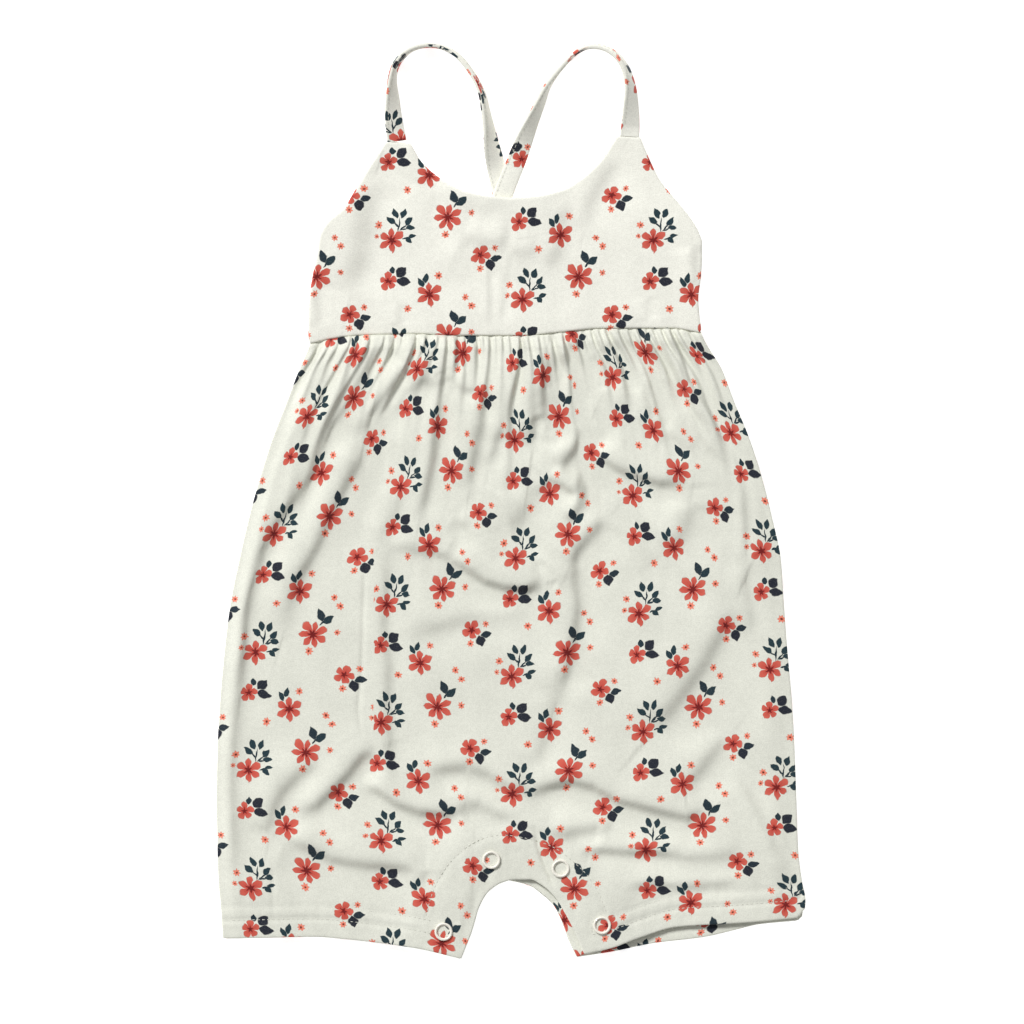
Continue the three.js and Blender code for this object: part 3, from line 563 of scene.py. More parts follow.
def gather_hides(s, y):
    """How the print steps across each gather, where some of the cloth is out of sight."""
    below = WAIST_LEVEL + 1 - y
    shift = np.zeros(np.shape(s))
    total = np.zeros(np.shape(s))
    for gather in GATHERS:
        _, deep, long, _ = gather
        away = gather_away(gather, s, y, below)
        hides = GATHER_HIDES * deep * (1 - smooth(long * 0.5, long * 1.3, below))
        shift = shift + hides / 2 * np.tanh(away / (0.8 + 0.03 * below))
        total = total + hides
    return shift - total / 2 * s


def front_folds(x, y):
    """The folds and valleys of the front, held within a set height."""
    folds = sum(fold_height(fold, x, y) for fold in FOLDS)
    folds = folds + sum(valley_height(valley, x, y) for valley in VALLEYS)
    return FOLD_LIMIT * np.tanh(folds / FOLD_LIMIT)


def front_pucker(s, x, y, below):
    """Fine puckers under the waist seam, which fade down the cloth."""
    drawn = s * 100 + 5 * soft_noise(x, y, 40, 11)
    pucker = 0.12 * np.exp(-below / 7) * np.sin(s * 300 + 3 * np.sin(s * 41))
    for high, fade, stretch, size, seed in PUCKERS:
        pucker = pucker + high * np.exp(-below / fade) * soft_noise(drawn, y / stretch, size, seed)
    return pucker


def front_hem(x, above, bare):
    """The turned hem's step, its two grooved rows, and the ripple they draw up."""
    hem = HEM_STEP * smooth(HEM_DEPTH + 1.5, HEM_DEPTH - 1.5, above) * bare
    for rise in HEM_ROWS:
        hem = hem - HEM_GROOVE * bare * bell(above - rise, 1.0)
    ripple = soft_noise(x, above / 3, 3.4, 21)
    return hem + HEM_RIPPLE * smooth(HEM_DEPTH + 8, HEM_DEPTH, above) * ripple


def front_facing(x, y, arch, above):
    """The facing's edge, its grooved row and its ripple, all round the crotch arch."""
    step = FACING_STEP * smooth(PLACKET_WIDTH + 3, PLACKET_WIDTH + 1, arch)
    groove = FACING_GROOVE * bell(arch - FACING_ROW, 0.9) * smooth(12, 20, above)
    ripple = soft_noise(x, y, 4.2, 22)
    return step - groove + FACING_RIPPLE * smooth(FACING_ROW + 7, FACING_ROW, arch) * ripple


def near_snap(x, y):
    return np.max([smooth(13, 7, np.hypot(x - sx, y - sy)) for sx, sy in SNAPS], axis=0)


def front_height(x, y):
    """The top of the front of the shorts at a place."""
    s = front.column(x, y)
    below = front.top(x) - y
    above = y - front.low(x)
    arch = nearest_on(ARCH_LINE, x, y)[0]
    on_placket = smooth(PLACKET_WIDTH + PLACKET_BLEND, PLACKET_WIDTH - 4, arch)
    raised = PLACKET_RISE * smooth(PLACKET_WIDTH + 28, PLACKET_WIDTH + 1, arch)
    calm = 1 - 0.8 * np.maximum(on_placket, near_snap(x, y))
    relief = (front_folds(x, y) + unevenness(x, y, SHORTS_UNEVEN)) * calm
    full = FULL_AT_SEAM + FULL_GAIN * smooth(0, 8, below) - FULL_LOSS * smooth(8, 72, below)
    side = np.where(s < 0, SIDE_ROUND_LEFT, SIDE_ROUND_RIGHT)
    round_side = smooth(SIDE_ROUND_OUT, side, (1 - np.abs(s)) * front.half(y))
    settled = 0.45 + 0.55 * smooth(2, 34, above)
    gathers = gather_depth(s, y, below) * (GATHER_DEEPER + GATHER_RIGHT * np.tanh(x / 40))
    loose = round_side * settled * (full + relief) - gathers + front_pucker(s, x, y, below)
    lifted = 0.5 * (loose + np.hypot(loose, LEAST_LOFT))
    hem = front_hem(x, above, 1 - on_placket)
    crease = valley_height(CROTCH_CREASE, x, y)
    return FRONT_LEAST + lifted + raised + hem + crease + front_facing(x, y, arch, above)


def shorts_print(x, y):
    """Where a place of the shorts lies on the printed cloth, with the pleat's hidden strip."""
    s = front.column(x, y)
    away = x - PLEAT_AT
    window = smooth(0, -25, y) * smooth(-150, -120, y)
    hidden = -PLEAT_HIDES * window * (away < 0) * np.exp(-np.abs(away) / 20)
    u = SHORTS_CLOTH_HALF * (s - SHORTS_PRINT_AT[0]) + hidden + gather_hides(s, y)
    v = (y - SHORTS_PRINT_AT[1]) * SHORTS_PRINT_STRETCH + through(*zip(*PRINT_RISE))(s)
    return np.stack([u, v], -1)


def bodice_print(x, y):
    return np.stack([x, y], -1) - BODICE_PRINT_AT


# The frame's places: one corner that the part's source also knows tells how far all moves.
SHORTS_CORNER = (-162.0, -252.0)
low_corner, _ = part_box("front_shorts")
SHIFT_X = low_corner[0] / MM - SHORTS_CORNER[0]
SHIFT_Y = low_corner[1] / MM - SHORTS_CORNER[1]


def to_frame(points):
    moved = np.asarray(points, float).reshape(-1, 3) + (SHIFT_X, SHIFT_Y, 0)
    return moved * MM


def place_in_scene(name, data):
    made = bpy.data.objects.new(name, data)
    bpy.context.scene.collection.objects.link(made)
    return made


def make_piece(name, points, faces, uvs, node, material):
    mesh = bpy.data.meshes.new(name)
    mesh.from_pydata(to_frame(points).tolist(), [], faces)
    mesh.update()
    layer = mesh.uv_layers.new(name="cloth")
    corners = np.empty(len(mesh.loops), int)
    mesh.loops.foreach_get("vertex_index", corners)
    layer.data.foreach_set("uv", (np.asarray(uvs)[corners] * MAP_PER_MM).ravel())
    mesh.polygons.foreach_set("use_smooth", [True] * len(mesh.polygons))
    mesh.materials.append(material)
    piece = place_in_scene(name, mesh)
    if node:
        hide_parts(node)
    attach(piece, "root")
    return piece


def grid_faces(rows, columns, start=0, flip=False):
    index = start + np.arange(rows * columns).reshape(rows, columns)
    quads = np.stack([index[1:, :-1], index[1:, 1:], index[:-1, 1:], index[:-1, :-1]], -1)
    quads = quads.reshape(-1, 4)
    return (quads[:, ::-1] if flip else quads).tolist()


def band_faces(last, ids):
    """The band from one closed ring of points down to the next."""
    return np.stack([last, ids, np.roll(ids, -1), np.roll(last, -1)], -1).tolist()


def tube_faces(rings, closed=False):
    """The bands along a row of rings; a closed row also joins its last ring to its first."""
    faces = []
    for here, there in zip(rings, np.roll(rings, -1, 0) if closed else rings[1:]):
        faces += np.stack([here, np.roll(here, -1), np.roll(there, -1), there], -1).tolist()
    return faces


def border(rows, columns):
    """The grid's edge, anticlockwise as seen from above with row 0 at the top."""
    left = [j * columns for j in range(rows)]
    low = [(rows - 1) * columns + i for i in range(1, columns)]
    right = [j * columns + columns - 1 for j in range(rows - 2, -1, -1)]
    top = [i for i in range(columns - 2, 0, -1)]
    return np.array(left + low + right + top)


def rolled_shell(node, grid, uv, thick, under=None, material=None):
    """A panel with a round edge: closed by its underside, or turned under by a lip."""
    rows, columns, _ = grid.shape
    points = [grid.reshape(-1, 3)]
    uvs = [uv.reshape(-1, 2)]
    faces = grid_faces(rows, columns)
    last = loop = border(rows, columns)
    count = rows * columns
    edge = points[0][loop]
    tangent = np.roll(edge, -1, 0) - np.roll(edge, 1, 0)
    outward = np.stack([tangent[:, 1], -tangent[:, 0]], -1)
    outward /= np.maximum(np.linalg.norm(outward, axis=1, keepdims=True), 1e-9)
    angles = math.pi / ROLL_STEPS * np.arange(1, ROLL_STEPS + 1 if under is None else ROLL_STEPS)
    rings = [thick / 2 * np.array([math.sin(a), 1 - math.cos(a), a]) for a in angles]
    if under is None:
        rings.append((-TURN_UNDER, thick, -TURN_UNDER))
    for out, drop, slide in rings:
        points.append(edge + np.column_stack([outward * out, np.full(len(loop), -drop)]))
        uvs.append(uvs[0][loop] + outward * slide)
        ids = count + np.arange(len(loop))
        faces += band_faces(last, ids)
        last = ids
        count += len(loop)
    if under is not None:
        points.append(under.reshape(-1, 3))
        uvs.append(uv.reshape(-1, 2))
        faces += grid_faces(rows, columns, count, flip=True) + band_faces(last, count + loop)
    points, uvs = np.concatenate(points), np.concatenate(uvs)
    return make_piece(f"{node}_cloth", points, faces, uvs, node, material or JERSEY)


# Materials.
class Tree:
    """Short names for the shader nodes that the materials share."""

    def __init__(self, tree):
        self.tree = tree

    def fill(self, node, values):
        """Sets or links a node's inputs, which are given by name or in their order."""
        for key, value in values.items() if isinstance(values, dict) else enumerate(values):
            if hasattr(value, "is_output"):
                self.tree.links.new(value, node.inputs[key])
            else:
                node.inputs[key].default_value = value
        return node

    def node(self, kind, values=(), **settings):
        made = self.tree.nodes.new(kind)
        for key, value in settings.items():
            setattr(made, key, value)
        return self.fill(made, values)

    def math(self, operation, *values):
        return self.node("ShaderNodeMath", values, operation=operation).outputs[0]

    def times(self, a, b, plus=None):
        return self.math("MULTIPLY", a, b) if plus is None else self.math("MULTIPLY_ADD", a, b, plus)

    def minus(self, a, b):
        return self.math("SUBTRACT", a, b)

    def vector(self, operation, *values):
        made = self.node("ShaderNodeVectorMath", values, operation=operation)
        return made.outputs["Value" if operation == "LENGTH" else "Vector"]

    def scale(self, vector, factor):
        values = {0: vector, "Scale": factor}
        return self.node("ShaderNodeVectorMath", values, operation="SCALE").outputs["Vector"]

    def split(self, vector):
        return self.node("ShaderNodeSeparateXYZ", [vector]).outputs

    def join(self, x, y):
        return self.node("ShaderNodeCombineXYZ", [x, y]).outputs[0]

    def local(self, vector, place, turn, scale):
        """A place seen from a motif: moved, turned and scaled to it."""
        values = {"Vector": vector, "Location": place, "Rotation": (0, 0, turn), "Scale": scale}
        return self.node("ShaderNodeMapping", values, vector_type="TEXTURE").outputs[0]

    def mix(self, factor, a, b, kind="RGBA"):
        made = self.node("ShaderNodeMix", data_type=kind)
        shown = [i for i, socket in enumerate(made.inputs) if socket.enabled]
        self.fill(made, dict(zip(shown, (factor, a, b))))
        return next(socket for socket in made.outputs if socket.enabled)

    def ramp(self, *values):
        """A value's way from one number to a second, from 0 to 1 or between two more numbers."""
        return self.node("ShaderNodeMapRange", values, clamp=True).outputs[0]

    def noise(self, vector, scale, detail, output=0):
        values = {"Vector": vector, "Scale": scale, "Detail": detail}
        return self.node("ShaderNodeTexNoise", values).outputs[output]


def new_material(name):
    material = bpy.data.materials.new(name)
    material.use_nodes = True
    return material, Tree(material.node_tree), material.node_tree.nodes["Principled BSDF"]


def repeats_of(x, y, reach):
    """The copies of a motif that reach into one column's cell of the half-drop repeat."""
    for i in (-1, 0, 1, 2, -2):
        for j in (-2, -1, 0, 1, 2):
            cx = x - i * REPEAT_ACROSS
            cy = y - i * REPEAT_ALONG / 2 + j * REPEAT_ALONG
            if abs(cx) < REPEAT_ACROSS / 2 + reach and abs(cy) < REPEAT_ALONG / 2 + reach:
                yield cx, cy


def nearest_motif(tree, cell, motifs):
    """The local place in whichever motif lies nearest; its third number is the motif's own."""
    best, chosen = None, None
    for (x, y), turn, (wide, tall), number in motifs:
        own = tree.local(cell, (x, y, -number), math.radians(turn), (wide, tall, 1))
        length = tree.vector("LENGTH", own)
        if best is None:
            best, chosen = length, own
            continue
        chosen = tree.mix(tree.math("LESS_THAN", length, best), chosen, own, "VECTOR")
        best = tree.math("MINIMUM", length, best)
    return tree.split(chosen)


def flower_motifs():
    for x, y, radius, petals, turn in FLOWERS.values():
        for place in repeats_of(x, y, radius):
            yield place, turn, (radius, radius), petals * PETAL_CODE


def small_motifs():
    for name, rows in SMALL_FLOWERS.items():
        x, y = FLOWERS[name][:2]
        for dx, dy, radius in rows:
            for place in repeats_of(x + dx, y + dy, radius):
                yield place, SMALL_TURN * dx, (radius, radius), 0.0


def leaf_motifs():
    for name, rows in LEAVES.items():
        x, y = FLOWERS[name][:2]
        for dx, dy, turn, long, wide, dark in rows:
            for place in repeats_of(x + dx, y + dy, long / 2):
                yield place, turn, (long / 2, wide / 2), dark * DARK_CODE


def repeat_cell(tree, place):
    """A cloth place within its own cell of the repeat, with edges that wander a little."""
    centred = tree.vector("SUBTRACT", tree.noise(place, 0.3, 1.0, "Color"), (0.5, 0.5, 0.5))
    x, y, _ = tree.split(tree.vector("ADD", place, tree.scale(centred, WANDER)))
    column = tree.math("FLOOR", tree.times(x, 1 / REPEAT_ACROSS, 0.5))
    dropped = tree.times(column, -REPEAT_ALONG / 2, y)
    row = tree.math("FLOOR", tree.times(dropped, 1 / REPEAT_ALONG, 0.5))
    return tree.join(tree.times(column, -REPEAT_ACROSS, x), tree.times(row, -REPEAT_ALONG, dropped))


def flower_ink(tree, cell):
    """Large flowers: petals by angle, each a little different, with a dark starred middle."""
    x, y, code = nearest_motif(tree, cell, flower_motifs())
    radius = tree.vector("LENGTH", tree.join(x, y))
    petals = tree.math("ROUND", tree.times(code, 1 / PETAL_CODE))
    turn = tree.times(tree.math("ARCTAN2", y, x), 0.5 / math.pi)
    phase = tree.math("ADD", tree.times(turn, petals), PETAL_START)
    petal = tree.math("FLOOR", phase)
    off = tree.minus(phase, tree.math("ADD", petal, 0.5))
    across = tree.times(tree.math("ABSOLUTE", off), 2.0)
    own = tree.math("SINE", tree.times(petal, 2.4, petals))
    pointed = tree.times(tree.math("SINE", tree.times(petal, 4.1)), 0.07, 0.12)
    pointed = tree.times(tree.math("GREATER_THAN", petals, 5.5), 0.12, pointed)
    edge = tree.minus(tree.times(own, 0.09, 0.93), tree.times(across, pointed))
    edge = tree.times(tree.math("POWER", across, 6.0), -0.46, edge)
    star = tree.times(tree.math("POWER", tree.minus(1.0, across), 2.0), 0.22, 0.14)
    middle = tree.ramp(tree.minus(star, radius), -0.07, 0.03)
    vein = tree.times(tree.ramp(across, 0.22, 0.0, 0.0, 0.42), tree.ramp(radius, 0.62, 0.15))
    coral = tree.mix(tree.ramp(radius, 0.25, 1.0), CORAL_INNER, CORAL_OUTER)
    coral = tree.mix(tree.math("MAXIMUM", middle, vein), coral, CORAL_DARK)
    return tree.ramp(tree.minus(edge, radius), -0.02, 0.05), coral


def small_ink(tree, cell):
    """Small flowers: seven notched petals and a dark middle."""
    x, y, _ = nearest_motif(tree, cell, small_motifs())
    radius = tree.vector("LENGTH", tree.join(x, y))
    notches = tree.math("COSINE", tree.times(tree.math("ARCTAN2", y, x), 7.0))
    edge = tree.times(notches, 0.17, 0.8)
    peach = tree.mix(tree.ramp(radius, 0.34, 0.16), PEACH, PEACH_DARK)
    return tree.ramp(tree.minus(edge, radius), -0.06, 0.1), peach


def leaf_ink(tree, cell):
    """Leaves: a lens with pointed ends, from blue-green to near black."""
    x, y, dark = nearest_motif(tree, cell, leaf_motifs())
    taper = tree.math("MAXIMUM", tree.times(x, -0.22, 1.0), 0.5)
    lens = tree.times(tree.minus(1.0, tree.times(x, x)), taper)
    teal = tree.mix(tree.times(dark, 1 / DARK_CODE), TEAL, NEAR_BLACK)
    return tree.ramp(tree.minus(lens, tree.math("ABSOLUTE", y)), -0.04, 0.14), teal


def print_group():
    """The flower print: cloth millimetres in, colour and ink out."""
    group = bpy.data.node_groups.new("flower_print", "ShaderNodeTree")
    group.interface.new_socket("Place", in_out="INPUT", socket_type="NodeSocketVector")
    group.interface.new_socket("Colour", in_out="OUTPUT", socket_type="NodeSocketColor")
    group.interface.new_socket("Ink", in_out="OUTPUT", socket_type="NodeSocketFloat")
    tree = Tree(group)
    cell = repeat_cell(tree, tree.node("NodeGroupInput").outputs["Place"])
    flower, coral = flower_ink(tree, cell)
    small, peach = small_ink(tree, cell)
    leaf, teal = leaf_ink(tree, cell)
    colour = tree.mix(flower, tree.mix(small, teal, peach), coral)
    ink = tree.math("MAXIMUM", tree.math("MAXIMUM", flower, small), leaf)
    tree.node("NodeGroupOutput", {"Colour": colour, "Ink": ink})
    return group


PRINT = print_group()


def jersey(name, base):
    """Soft cotton jersey: cream, with fine knit ribs, a faint fuzz and the flower print."""
    material, tree, surface = new_material(name)
    place = tree.node("ShaderNodeUVMap", uv_map="cloth").outputs[0]
    cloth = tree.scale(place, 1 / MAP_PER_MM)
    deep = tuple(c * 0.97 for c in base) + (1,)
    pale = tuple(min(1, c * 1.02) for c in base) + (1,)
    cream = tree.mix(tree.ramp(tree.noise(cloth, 0.06, 3.0), 0.35, 0.65), deep, pale)
    fuzz = tree.noise(cloth, 1.5, 4.0)
    cloudy = tree.noise(cloth, 0.42, 2.0)
    printed = tree.node("ShaderNodeGroup", node_tree=PRINT)
    tree.fill(printed, {"Place": cloth})
    worn = tree.times(printed.outputs["Ink"], tree.ramp(fuzz, 0.25, 0.5, 0.93, 1.0))
    colour = tree.mix(worn, cream, printed.outputs["Colour"])
    speckle = tree.ramp(cloudy, 0.38, 0.62, 0.97, 1.015)
    speckle = tree.times(tree.ramp(fuzz, 0.36, 0.64, 0.91, 1.05), speckle)
    x, y, _ = tree.split(cloth)
    rib = tree.math("SINE", tree.times(x, 2 * math.pi / RIB))
    course = tree.math("SINE", tree.times(y, 2 * math.pi / COURSE, rib))
    knit = tree.times(course, 0.35, tree.times(rib, 0.65))
    height = tree.times(fuzz, 1.2, tree.times(knit, 0.5))
    bump = tree.node("ShaderNodeBump", {"Strength": 0.22, "Distance": 0.00012, "Height": height})
    tree.fill(surface, {
        "Base Color": tree.scale(colour, speckle),
        "Normal": bump.outputs[0],
        "Roughness": 0.88,
        "Sheen Weight": 0.12,
        "Sheen Roughness": 0.5,
        "Specular IOR Level": 0.25,
    })
    return material


def enamel():
    """The rings' cream enamel, with faint wear."""
    material, tree, surface = new_material("cream_enamel")
    wear = tree.noise(tree.node("ShaderNodeTexCoord").outputs["Object"], 900.0, 3.0)
    tint = tree.mix(tree.ramp(wear, 0.4, 0.7), ENAMEL_LIGHT, ENAMEL_DARK)
    rough = tree.ramp(wear, 0.3, 0.7, 0.28, 0.4)
    tree.fill(surface, {"Base Color": tint, "Roughness": rough, "Coat Weight": 0.3})
    return material


def thread():
    """Cream sewing thread with a fine twist, darkened with painted shade of the dents round its
    stitches.
    """
    material, tree, surface = new_material("cream_thread_painted_shade")
    twist = tree.noise(tree.node("ShaderNodeTexCoord").outputs["Object"], 2500.0, 2.0)
    tint = tree.mix(tree.ramp(twist, 0.4, 0.6), THREAD_LIGHT_SHADED, THREAD_DARK_SHADED)
    tree.fill(surface, {"Base Color": tint, "Roughness": 0.6, "Sheen Weight": 0.2})
    return material


JERSEY = jersey("printed_jersey", CREAM)
# The bodice's and straps' lighter cream is partly painted light.
LINED_JERSEY_PAINTED_LIGHT = jersey("lined_jersey_painted_light", LINED_CREAM_PAINTED_LIGHT)
ENAMEL = enamel()
THREAD = thread()


# Panels.
def spaced(*runs):
    """Even steps over several runs, each (start, end, count), joined without repeats."""
    parts = [np.linspace(start, end, count, endpoint=False) for start, end, count in runs]
    return np.concatenate(parts + [[runs[-1][1]]])


def panel_places(panel, count, rows, corners, side, top_in, low_in):
    """A panel's places, drawn in from its sides and edges, with columns at its corners too."""
    columns = np.unique(np.concatenate([np.linspace(-1, 1, count), corners]))
    s, v = np.meshgrid(columns, rows)
    top = panel.edge(columns, panel.top) - top_in
    low = panel.edge(columns, panel.low) + low_in
    y = top + (low - top) * v
    return s, v, panel.across(s * (1 - side / panel.half(y)), y), y


def arch_columns(panel, corners):
    """The columns that pass through the crotch arch's two corners."""
    return panel.column(np.array(corners[:2], float), LEG_LEVEL)


def at_height(x, y, z):
    return np.stack([x, y, np.broadcast_to(z, x.shape)], -1)


def front_shorts():
    rows = spaced((0, 0.16, 62), (0.16, 0.86, 128), (0.86, 1, 30))
    corners = arch_columns(front, FRONT_CORNERS)
    _, _, x, y = panel_places(front, 400, rows, corners, side=0.8, top_in=-0.7, low_in=0.8)
    z = front_height(x, y)
    tuck = smooth(2.2, -0.7, front.top(x) - y)
    z = z * (1 - tuck) + np.minimum(z, TUCK_HEIGHT) * tuck
    return rolled_shell("front_shorts", at_height(x, y, z), shorts_print(x, y), PANEL_THICK)


def back_shorts():
    """The back's inner face shows at the right hem; outside, its gathers press up into it."""
    rows = spaced((0, 0.14, 34), (0.14, 0.88, 60), (0.88, 1, 20))
    corners = arch_columns(back, BACK_CORNERS)
    s, v, x, y = panel_places(back, 240, rows, corners, side=0.7, top_in=0.2, low_in=0.7)
    thick = PANEL_THICK - BACK_THINNER
    above = y - back.low(x)
    press = np.minimum(0.55 * gather_depth(s, y, (back.top(x) - y) * 1.4), 0.85)
    flat = smooth(0, 0.03, v) * smooth(1, 0.97, v) * smooth(1, 0.97, np.abs(s))
    groove = 0.25 * bell(above - HEM_DEPTH + 2, 0.8)
    hem = BACK_THINNER * smooth(HEM_DEPTH + 0.6, HEM_DEPTH - 0.6, above)
    under = at_height(x, y, flat * (press + groove))
    uv = shorts_print(x, y) + BACK_SHORTS_SLIDE
    return rolled_shell("back_shorts", at_height(x, y, thick + hem), uv, thick, under)


def bodice_under(x, y):
    """The bodice's underside, which rises over the straps that pass below it."""
    shoulder = 3.2 - 0.5 * smooth(95, 120, y) - 2.2 * smooth(150, 186, y)
    over_straps = smooth(118, 140, y) * smooth(40, 20, np.abs(x + 4))
    return shoulder + (4.5 - shoulder) * over_straps


def front_bodice():
    rows = spaced((0, 0.12, 14), (0.12, 0.88, 76), (0.88, 1, 14))
    corners = np.array(BODICE_CORNERS) / BODICE_SIDES[0][2]
    _, _, x, y = panel_places(bodice, 260, rows, corners, side=1.1, top_in=1.1, low_in=0.9)
    bottom = bodice_under(x, y)
    folds = BODICE_SOFTER * sum(fold_height(fold, x, y) for fold in BODICE_FOLDS)
    seam = y - bodice.low(x)
    pucker = 0.16 * np.exp(-seam / 14) * np.sin(x / 2.9 + 1.4 * np.sin(x / 17))
    roll = np.exp(-np.maximum(seam, 0) / 2.2) * 0.35
    upper = bottom + BODICE_THICK + folds + unevenness(x, y, BODICE_UNEVEN) + pucker - roll
    grid, under = at_height(x, y, upper), at_height(x, y, bottom)
    # The bodice takes the lighter cream, which is partly painted light.
    return rolled_shell("front_bodice", grid, bodice_print(x, y), BODICE_THICK, under, LINED_JERSEY_PAINTED_LIGHT)


def back_bodice():
    rows = np.linspace(0, 1, 46)
    s, v, x, y = panel_places(bodice_back, 160, rows, (), side=1.0, top_in=1.0, low_in=1.2)
    thick = BODICE_THICK - BACK_THINNER
    flat = smooth(0, 0.06, v) * smooth(1, 0.94, v) * smooth(1, 0.98, np.abs(s))
    under = at_height(x, y, flat * 0.2 * bell(y[0] - y - 4, 0.8))
    uv = bodice_print(x, y) + BACK_BODICE_SLIDE
    return rolled_shell("back_bodice", at_height(x, y, thick), uv, thick, under)


def line_lengths(points):
    """How far along a line of points each one lies."""
    steps = np.linalg.norm(np.diff(points, axis=0), axis=1)
    return np.concatenate([[0], np.cumsum(steps)])


def left_of(along):
    return np.stack([-along[:, 1], along[:, 0]], -1)


def arch_offset(t, away):
    """Places a set way inside the back's arch, t from 0 at the left to 1."""
    points = np.array(ARCH_LINE, float)
    lengths = line_lengths(points)
    place_at = [through(lengths, points[:, i]) for i in (0, 1)]
    d = t * lengths[-1]
    place, ahead, behind = (
        np.stack([rule(at) for rule in place_at], -1)
        for at in (d, np.minimum(d + 0.4, lengths[-1]), np.maximum(d - 0.4, 0))
    )
    along = ahead - behind
    inward = left_of(along / np.linalg.norm(along, axis=-1, keepdims=True))
    return place + inward * np.reshape(away, (-1, 1, 1))


def back_placket():
    t = np.linspace(0.004, 0.996, 150)
    away = np.linspace(PLACKET_WIDTH - 0.5, 0.55, 26)
    xy = arch_offset(t, away)
    x, y = xy[..., 0], xy[..., 1]
    wave = 0.12 * np.sin(t * 60)[None, :] * smooth(6, 0, away)[:, None]
    grid = at_height(x, y, PLACKET_LOW + PLACKET_THICK + wave)
    under = at_height(x, y, PLACKET_LOW)
    uv = xy + PLACKET_PRINT_AT
    return rolled_shell("back_placket", grid, uv, PLACKET_THICK, under)


# Straps.
def strap_frames(rows):
    """Places, rolls and least heights along a strap, smooth through its rows, and its directions."""
    data = np.array(rows, float)
    t = np.linspace(0, len(rows) - 1, STRAP_STATIONS)
    i = np.clip(np.floor(t).astype(int), 0, len(rows) - 2)
    f = (t - i)[:, None]
    before = data[np.maximum(i - 1, 0)]
    a, b = data[i], data[i + 1]
    after = data[np.minimum(i + 2, len(rows) - 1)]
    bend = (2 * before - 5 * a + 4 * b - after) * f**2 + (3 * a - before - 3 * b + after) * f**3
    curve = 0.5 * (2 * a + (b - before) * f + bend)
    along = np.gradient(curve[:, :2], axis=0)
    return curve, along / np.linalg.norm(along, axis=1, keepdims=True)


def strap_section():
    """Once round a strap: how far out and how thick, and how deep the stitched row lies."""
    cos, sin = np.cos(circle(STRAP_AROUND)), np.sin(circle(STRAP_AROUND))
    wide = STRAP_WIDTH / 2 * np.sign(cos) * np.abs(cos) ** 0.45
    thick = STRAP_THICK / 2 * np.sign(sin) * np.abs(sin) ** 0.7
    row = STRAP_ROW_DEEP * bell(wide - STRAP_WIDTH / 2 + STRAP_ROW_IN, 0.45) * np.sign(thick)
    return wide, thick, row


def strap(node, rows, u_start, v_start):
    """A flat tube with soft edges, that rolls as it goes, and the places of its stitches."""
    half_wide, half_thick = STRAP_WIDTH / 2, STRAP_THICK / 2
    curve, along = strap_frames(rows)
    roll = np.radians(np.clip(curve[:, 2], 0, 180))
    puff = 1 + STRAP_PUFF * np.sin(roll) ** 2
    standing = half_wide * np.sin(roll) + half_thick * puff * np.abs(np.cos(roll)) + 0.1
    middle = np.maximum(curve[:, 3], standing)
    distance = line_lengths(curve[:, :2])
    flex = 0.1 * np.sin(distance / 9.0) + 0.06 * np.sin(distance / 3.7 + 1)
    side = left_of(along)
    points, uvs = [], []
    for inset in (0, STRAP_WALL):
        for wide, thick, row in zip(*strap_section()):
            body = (thick - row) * (1 - inset / half_thick) * puff
            breadth = wide * (1 - inset / half_wide)
            flat = breadth * np.cos(roll) - (body + flex) * np.sin(roll)
            up = breadth * np.sin(roll) + body * np.cos(roll)
            points.append(np.column_stack([curve[:, :2] + side * flat[:, None], middle + up]))
            u = u_start + breadth + (STRAP_OTHER_FACE if thick < 0 else 0)
            uvs.append(np.column_stack([np.full(STRAP_STATIONS, u), distance + v_start]))
    points = np.stack(points, 1).reshape(-1, 3)
    uvs = np.stack(uvs, 1).reshape(-1, 2)
    points[:, 2] = np.maximum(points[:, 2], 0.05)
    ids = np.arange(len(points)).reshape(STRAP_STATIONS, 2, STRAP_AROUND)
    outside, inside = ids[:, 0], ids[:, 1]
    faces = tube_faces(np.concatenate([outside, inside[::-1]]), closed=True)
    # The strap takes the lighter cream, which is partly painted light.
    piece = make_piece(f"{node}_cloth", points, faces, uvs, node, LINED_JERSEY_PAINTED_LIGHT)
    return piece, strap_stitches(curve, along, roll, puff, middle, distance)


def strap_stitches(curve, along, roll, puff, middle, distance):
    """Stitches at an even pitch on the strap's upper face, whichever way it has rolled."""
    stitches = []
    offset = STRAP_WIDTH / 2 - STRAP_ROW_IN
    for i in range(3, int(distance[-1] / STRAP_PITCH) - 3):
        j = int(np.searchsorted(distance, i * STRAP_PITCH))
        cos, sin = math.cos(roll[j]), math.sin(roll[j])
        lift = math.copysign(STRAP_THICK / 2 * puff[j] - 0.1, cos)
        flat, up = offset * cos - lift * sin, offset * sin + lift * cos
        dx, dy = along[j]
        place = (curve[j, 0] - dy * flat, curve[j, 1] + dx * flat, middle[j] + up)
        stitches.append((place, along[j]))
    return stitches


def ring_cap(number, place):
    """An open ring: a round outer lip, a flat crown and a fine inner step."""
    x, y = place
    across, along = np.cos(circle(RING_AROUND)), np.sin(circle(RING_AROUND))
    reach = np.array([[0], [SNAP_OUTER]])
    seat = np.max(front_height(x + reach * across, y + reach * along)) + SNAP_CLEAR
    radius, height = np.array(RING_PROFILE).T[:, :, None]
    points = at_height(x + radius * across, y + radius * along, seat + height).reshape(-1, 3)
    faces = tube_faces(np.arange(len(points)).reshape(-1, RING_AROUND), closed=True)
    return make_piece(
        f"ring_cap_{number}", points, faces, points[:, :2], f"snap_cap_{number}", ENAMEL
    )


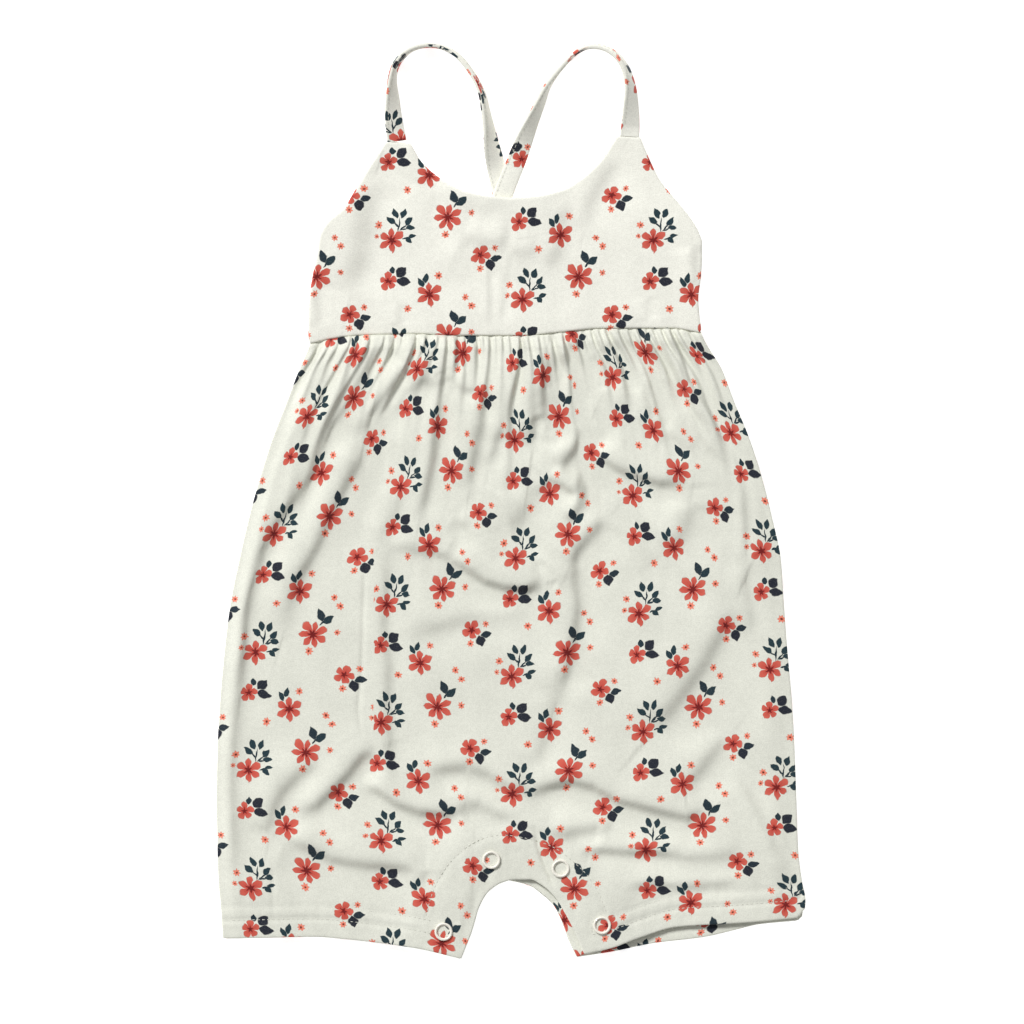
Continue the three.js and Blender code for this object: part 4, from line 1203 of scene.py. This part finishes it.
# Sewing thread.
def stitch_mesh(name, stitches, radius=STITCH_RADIUS):
    """Many short stitches, each a small bead of thread sunk halfway into the cloth."""
    t, fat = np.array(STITCH_SHAPE).T[:, :, None]
    ahead = t * STITCH_LONG
    out = radius * fat * np.cos(circle(STITCH_AROUND))
    up = radius * fat * np.sin(circle(STITCH_AROUND)) - STITCH_SINK * (2 * t) ** 2
    ids = np.arange(out.size).reshape(out.shape)
    bead = tube_faces(ids) + [ids[0, ::-1].tolist(), ids[-1].tolist()]
    points, faces = [], []
    for i, ((x, y, z), (dx, dy)) in enumerate(stitches):
        points.append(at_height(x + dx * ahead - dy * out, y + dy * ahead + dx * out, z + up))
        faces += [[i * out.size + corner for corner in face] for face in bead]
    points = np.reshape(points, (-1, 3))
    return make_piece(name, points, faces, points[:, :2], None, THREAD)


def stitched_line(points, pitch=STITCH_PITCH):
    """Stitches at an even pitch along a line on the front of the shorts."""
    lengths = line_lengths(points)
    at = np.arange(pitch, lengths[-1] - pitch, pitch)
    x, y = (np.interp(at, lengths, values) for values in points.T)
    along = np.stack([
        np.interp(at + 0.5, lengths, values) - np.interp(at - 0.5, lengths, values)
        for values in points.T
    ], -1)
    along /= np.linalg.norm(along, axis=1, keepdims=True)
    return list(zip(zip(x, y, front_height(x, y)), along))


def hem_stitching():
    stitches = []
    for start, end in HEM_SPANS:
        xs = np.linspace(start, end, 120)
        for rise in HEM_ROWS:
            stitches += stitched_line(np.column_stack([xs, front.low(xs) + rise]))
    # The rows meet beside the lowest snap on the right.
    ys = front.low(HEM_BOX_AT) + np.linspace(HEM_ROWS[1], HEM_ROWS[0], 20)
    stitches += stitched_line(np.column_stack([np.full(20, HEM_BOX_AT), ys]), pitch=2.0)
    arc = arch_offset(np.linspace(0, 1, 200), FACING_ROW)[0]
    above_hem = arc[:, 1] > front.low(arc[:, 0]) + HEM_DEPTH - 1
    stitches += stitched_line(arc[above_hem])
    return stitch_mesh("hem_stitching", stitches)


# Camera, light and floor.
def camera():
    data = bpy.data.cameras.new("camera")
    data.type = "ORTHO"
    data.ortho_scale = VIEW_SIDE * MM
    seen = place_in_scene("camera", data)
    seen.location = ((VIEW_X + SHIFT_X) * MM, (VIEW_Y + SHIFT_Y) * MM, CAMERA_HEIGHT)
    bpy.context.scene.camera = seen


def sun():
    """A far soft light."""
    data = bpy.data.lights.new("key", "SUN")
    data.energy = SUN_STRENGTH
    data.angle = math.radians(SUN_SOFTNESS)
    lamp = place_in_scene("key", data)
    lamp.rotation_euler = (math.radians(90 - SUN_HEIGHT), 0, math.radians(180 - SUN_AZIMUTH))


def sky():
    world = bpy.data.worlds.new("studio")
    world.use_nodes = True
    tree = Tree(world.node_tree)
    tree.fill(world.node_tree.nodes["Background"], {"Color": WHITE, "Strength": SKY_STRENGTH})
    bpy.context.scene.world = world


def floor():
    mesh = bpy.data.meshes.new("floor")
    corners = [(-1, -1), (1, -1), (1, 1), (-1, 1)]
    places = [(x * FLOOR_HALF, y * FLOOR_HALF, FLOOR_AT) for x, y in corners]
    mesh.from_pydata(places, [], [(0, 1, 2, 3)])
    material, tree, surface = new_material("white_floor")
    tree.fill(surface, {"Base Color": FLOOR_WHITE, "Roughness": 0.9})
    tree.fill(surface, {"Emission Color": WHITE, "Emission Strength": FLOOR_GLOW})
    mesh.materials.append(material)
    place_in_scene("floor", mesh)


def main():
    camera()
    shorts = front_shorts()
    shorts_back = back_shorts()
    top = front_bodice()
    top_back = back_bodice()
    placket = back_placket()
    left, left_stitches = strap("left_strap", LEFT_STRAP, 3, 0)
    right, right_stitches = strap("right_strap", RIGHT_STRAP, 40, -15.5)
    stitch_mesh("strap_stitching", left_stitches + right_stitches, STRAP_STITCH_RADIUS)
    hem_stitching()
    for number, place in enumerate(SNAPS, 1):
        ring_cap(number, place)
    bpy.context.scene.view_settings.view_transform = "Standard"
    sky()
    sun()
    floor()


main()
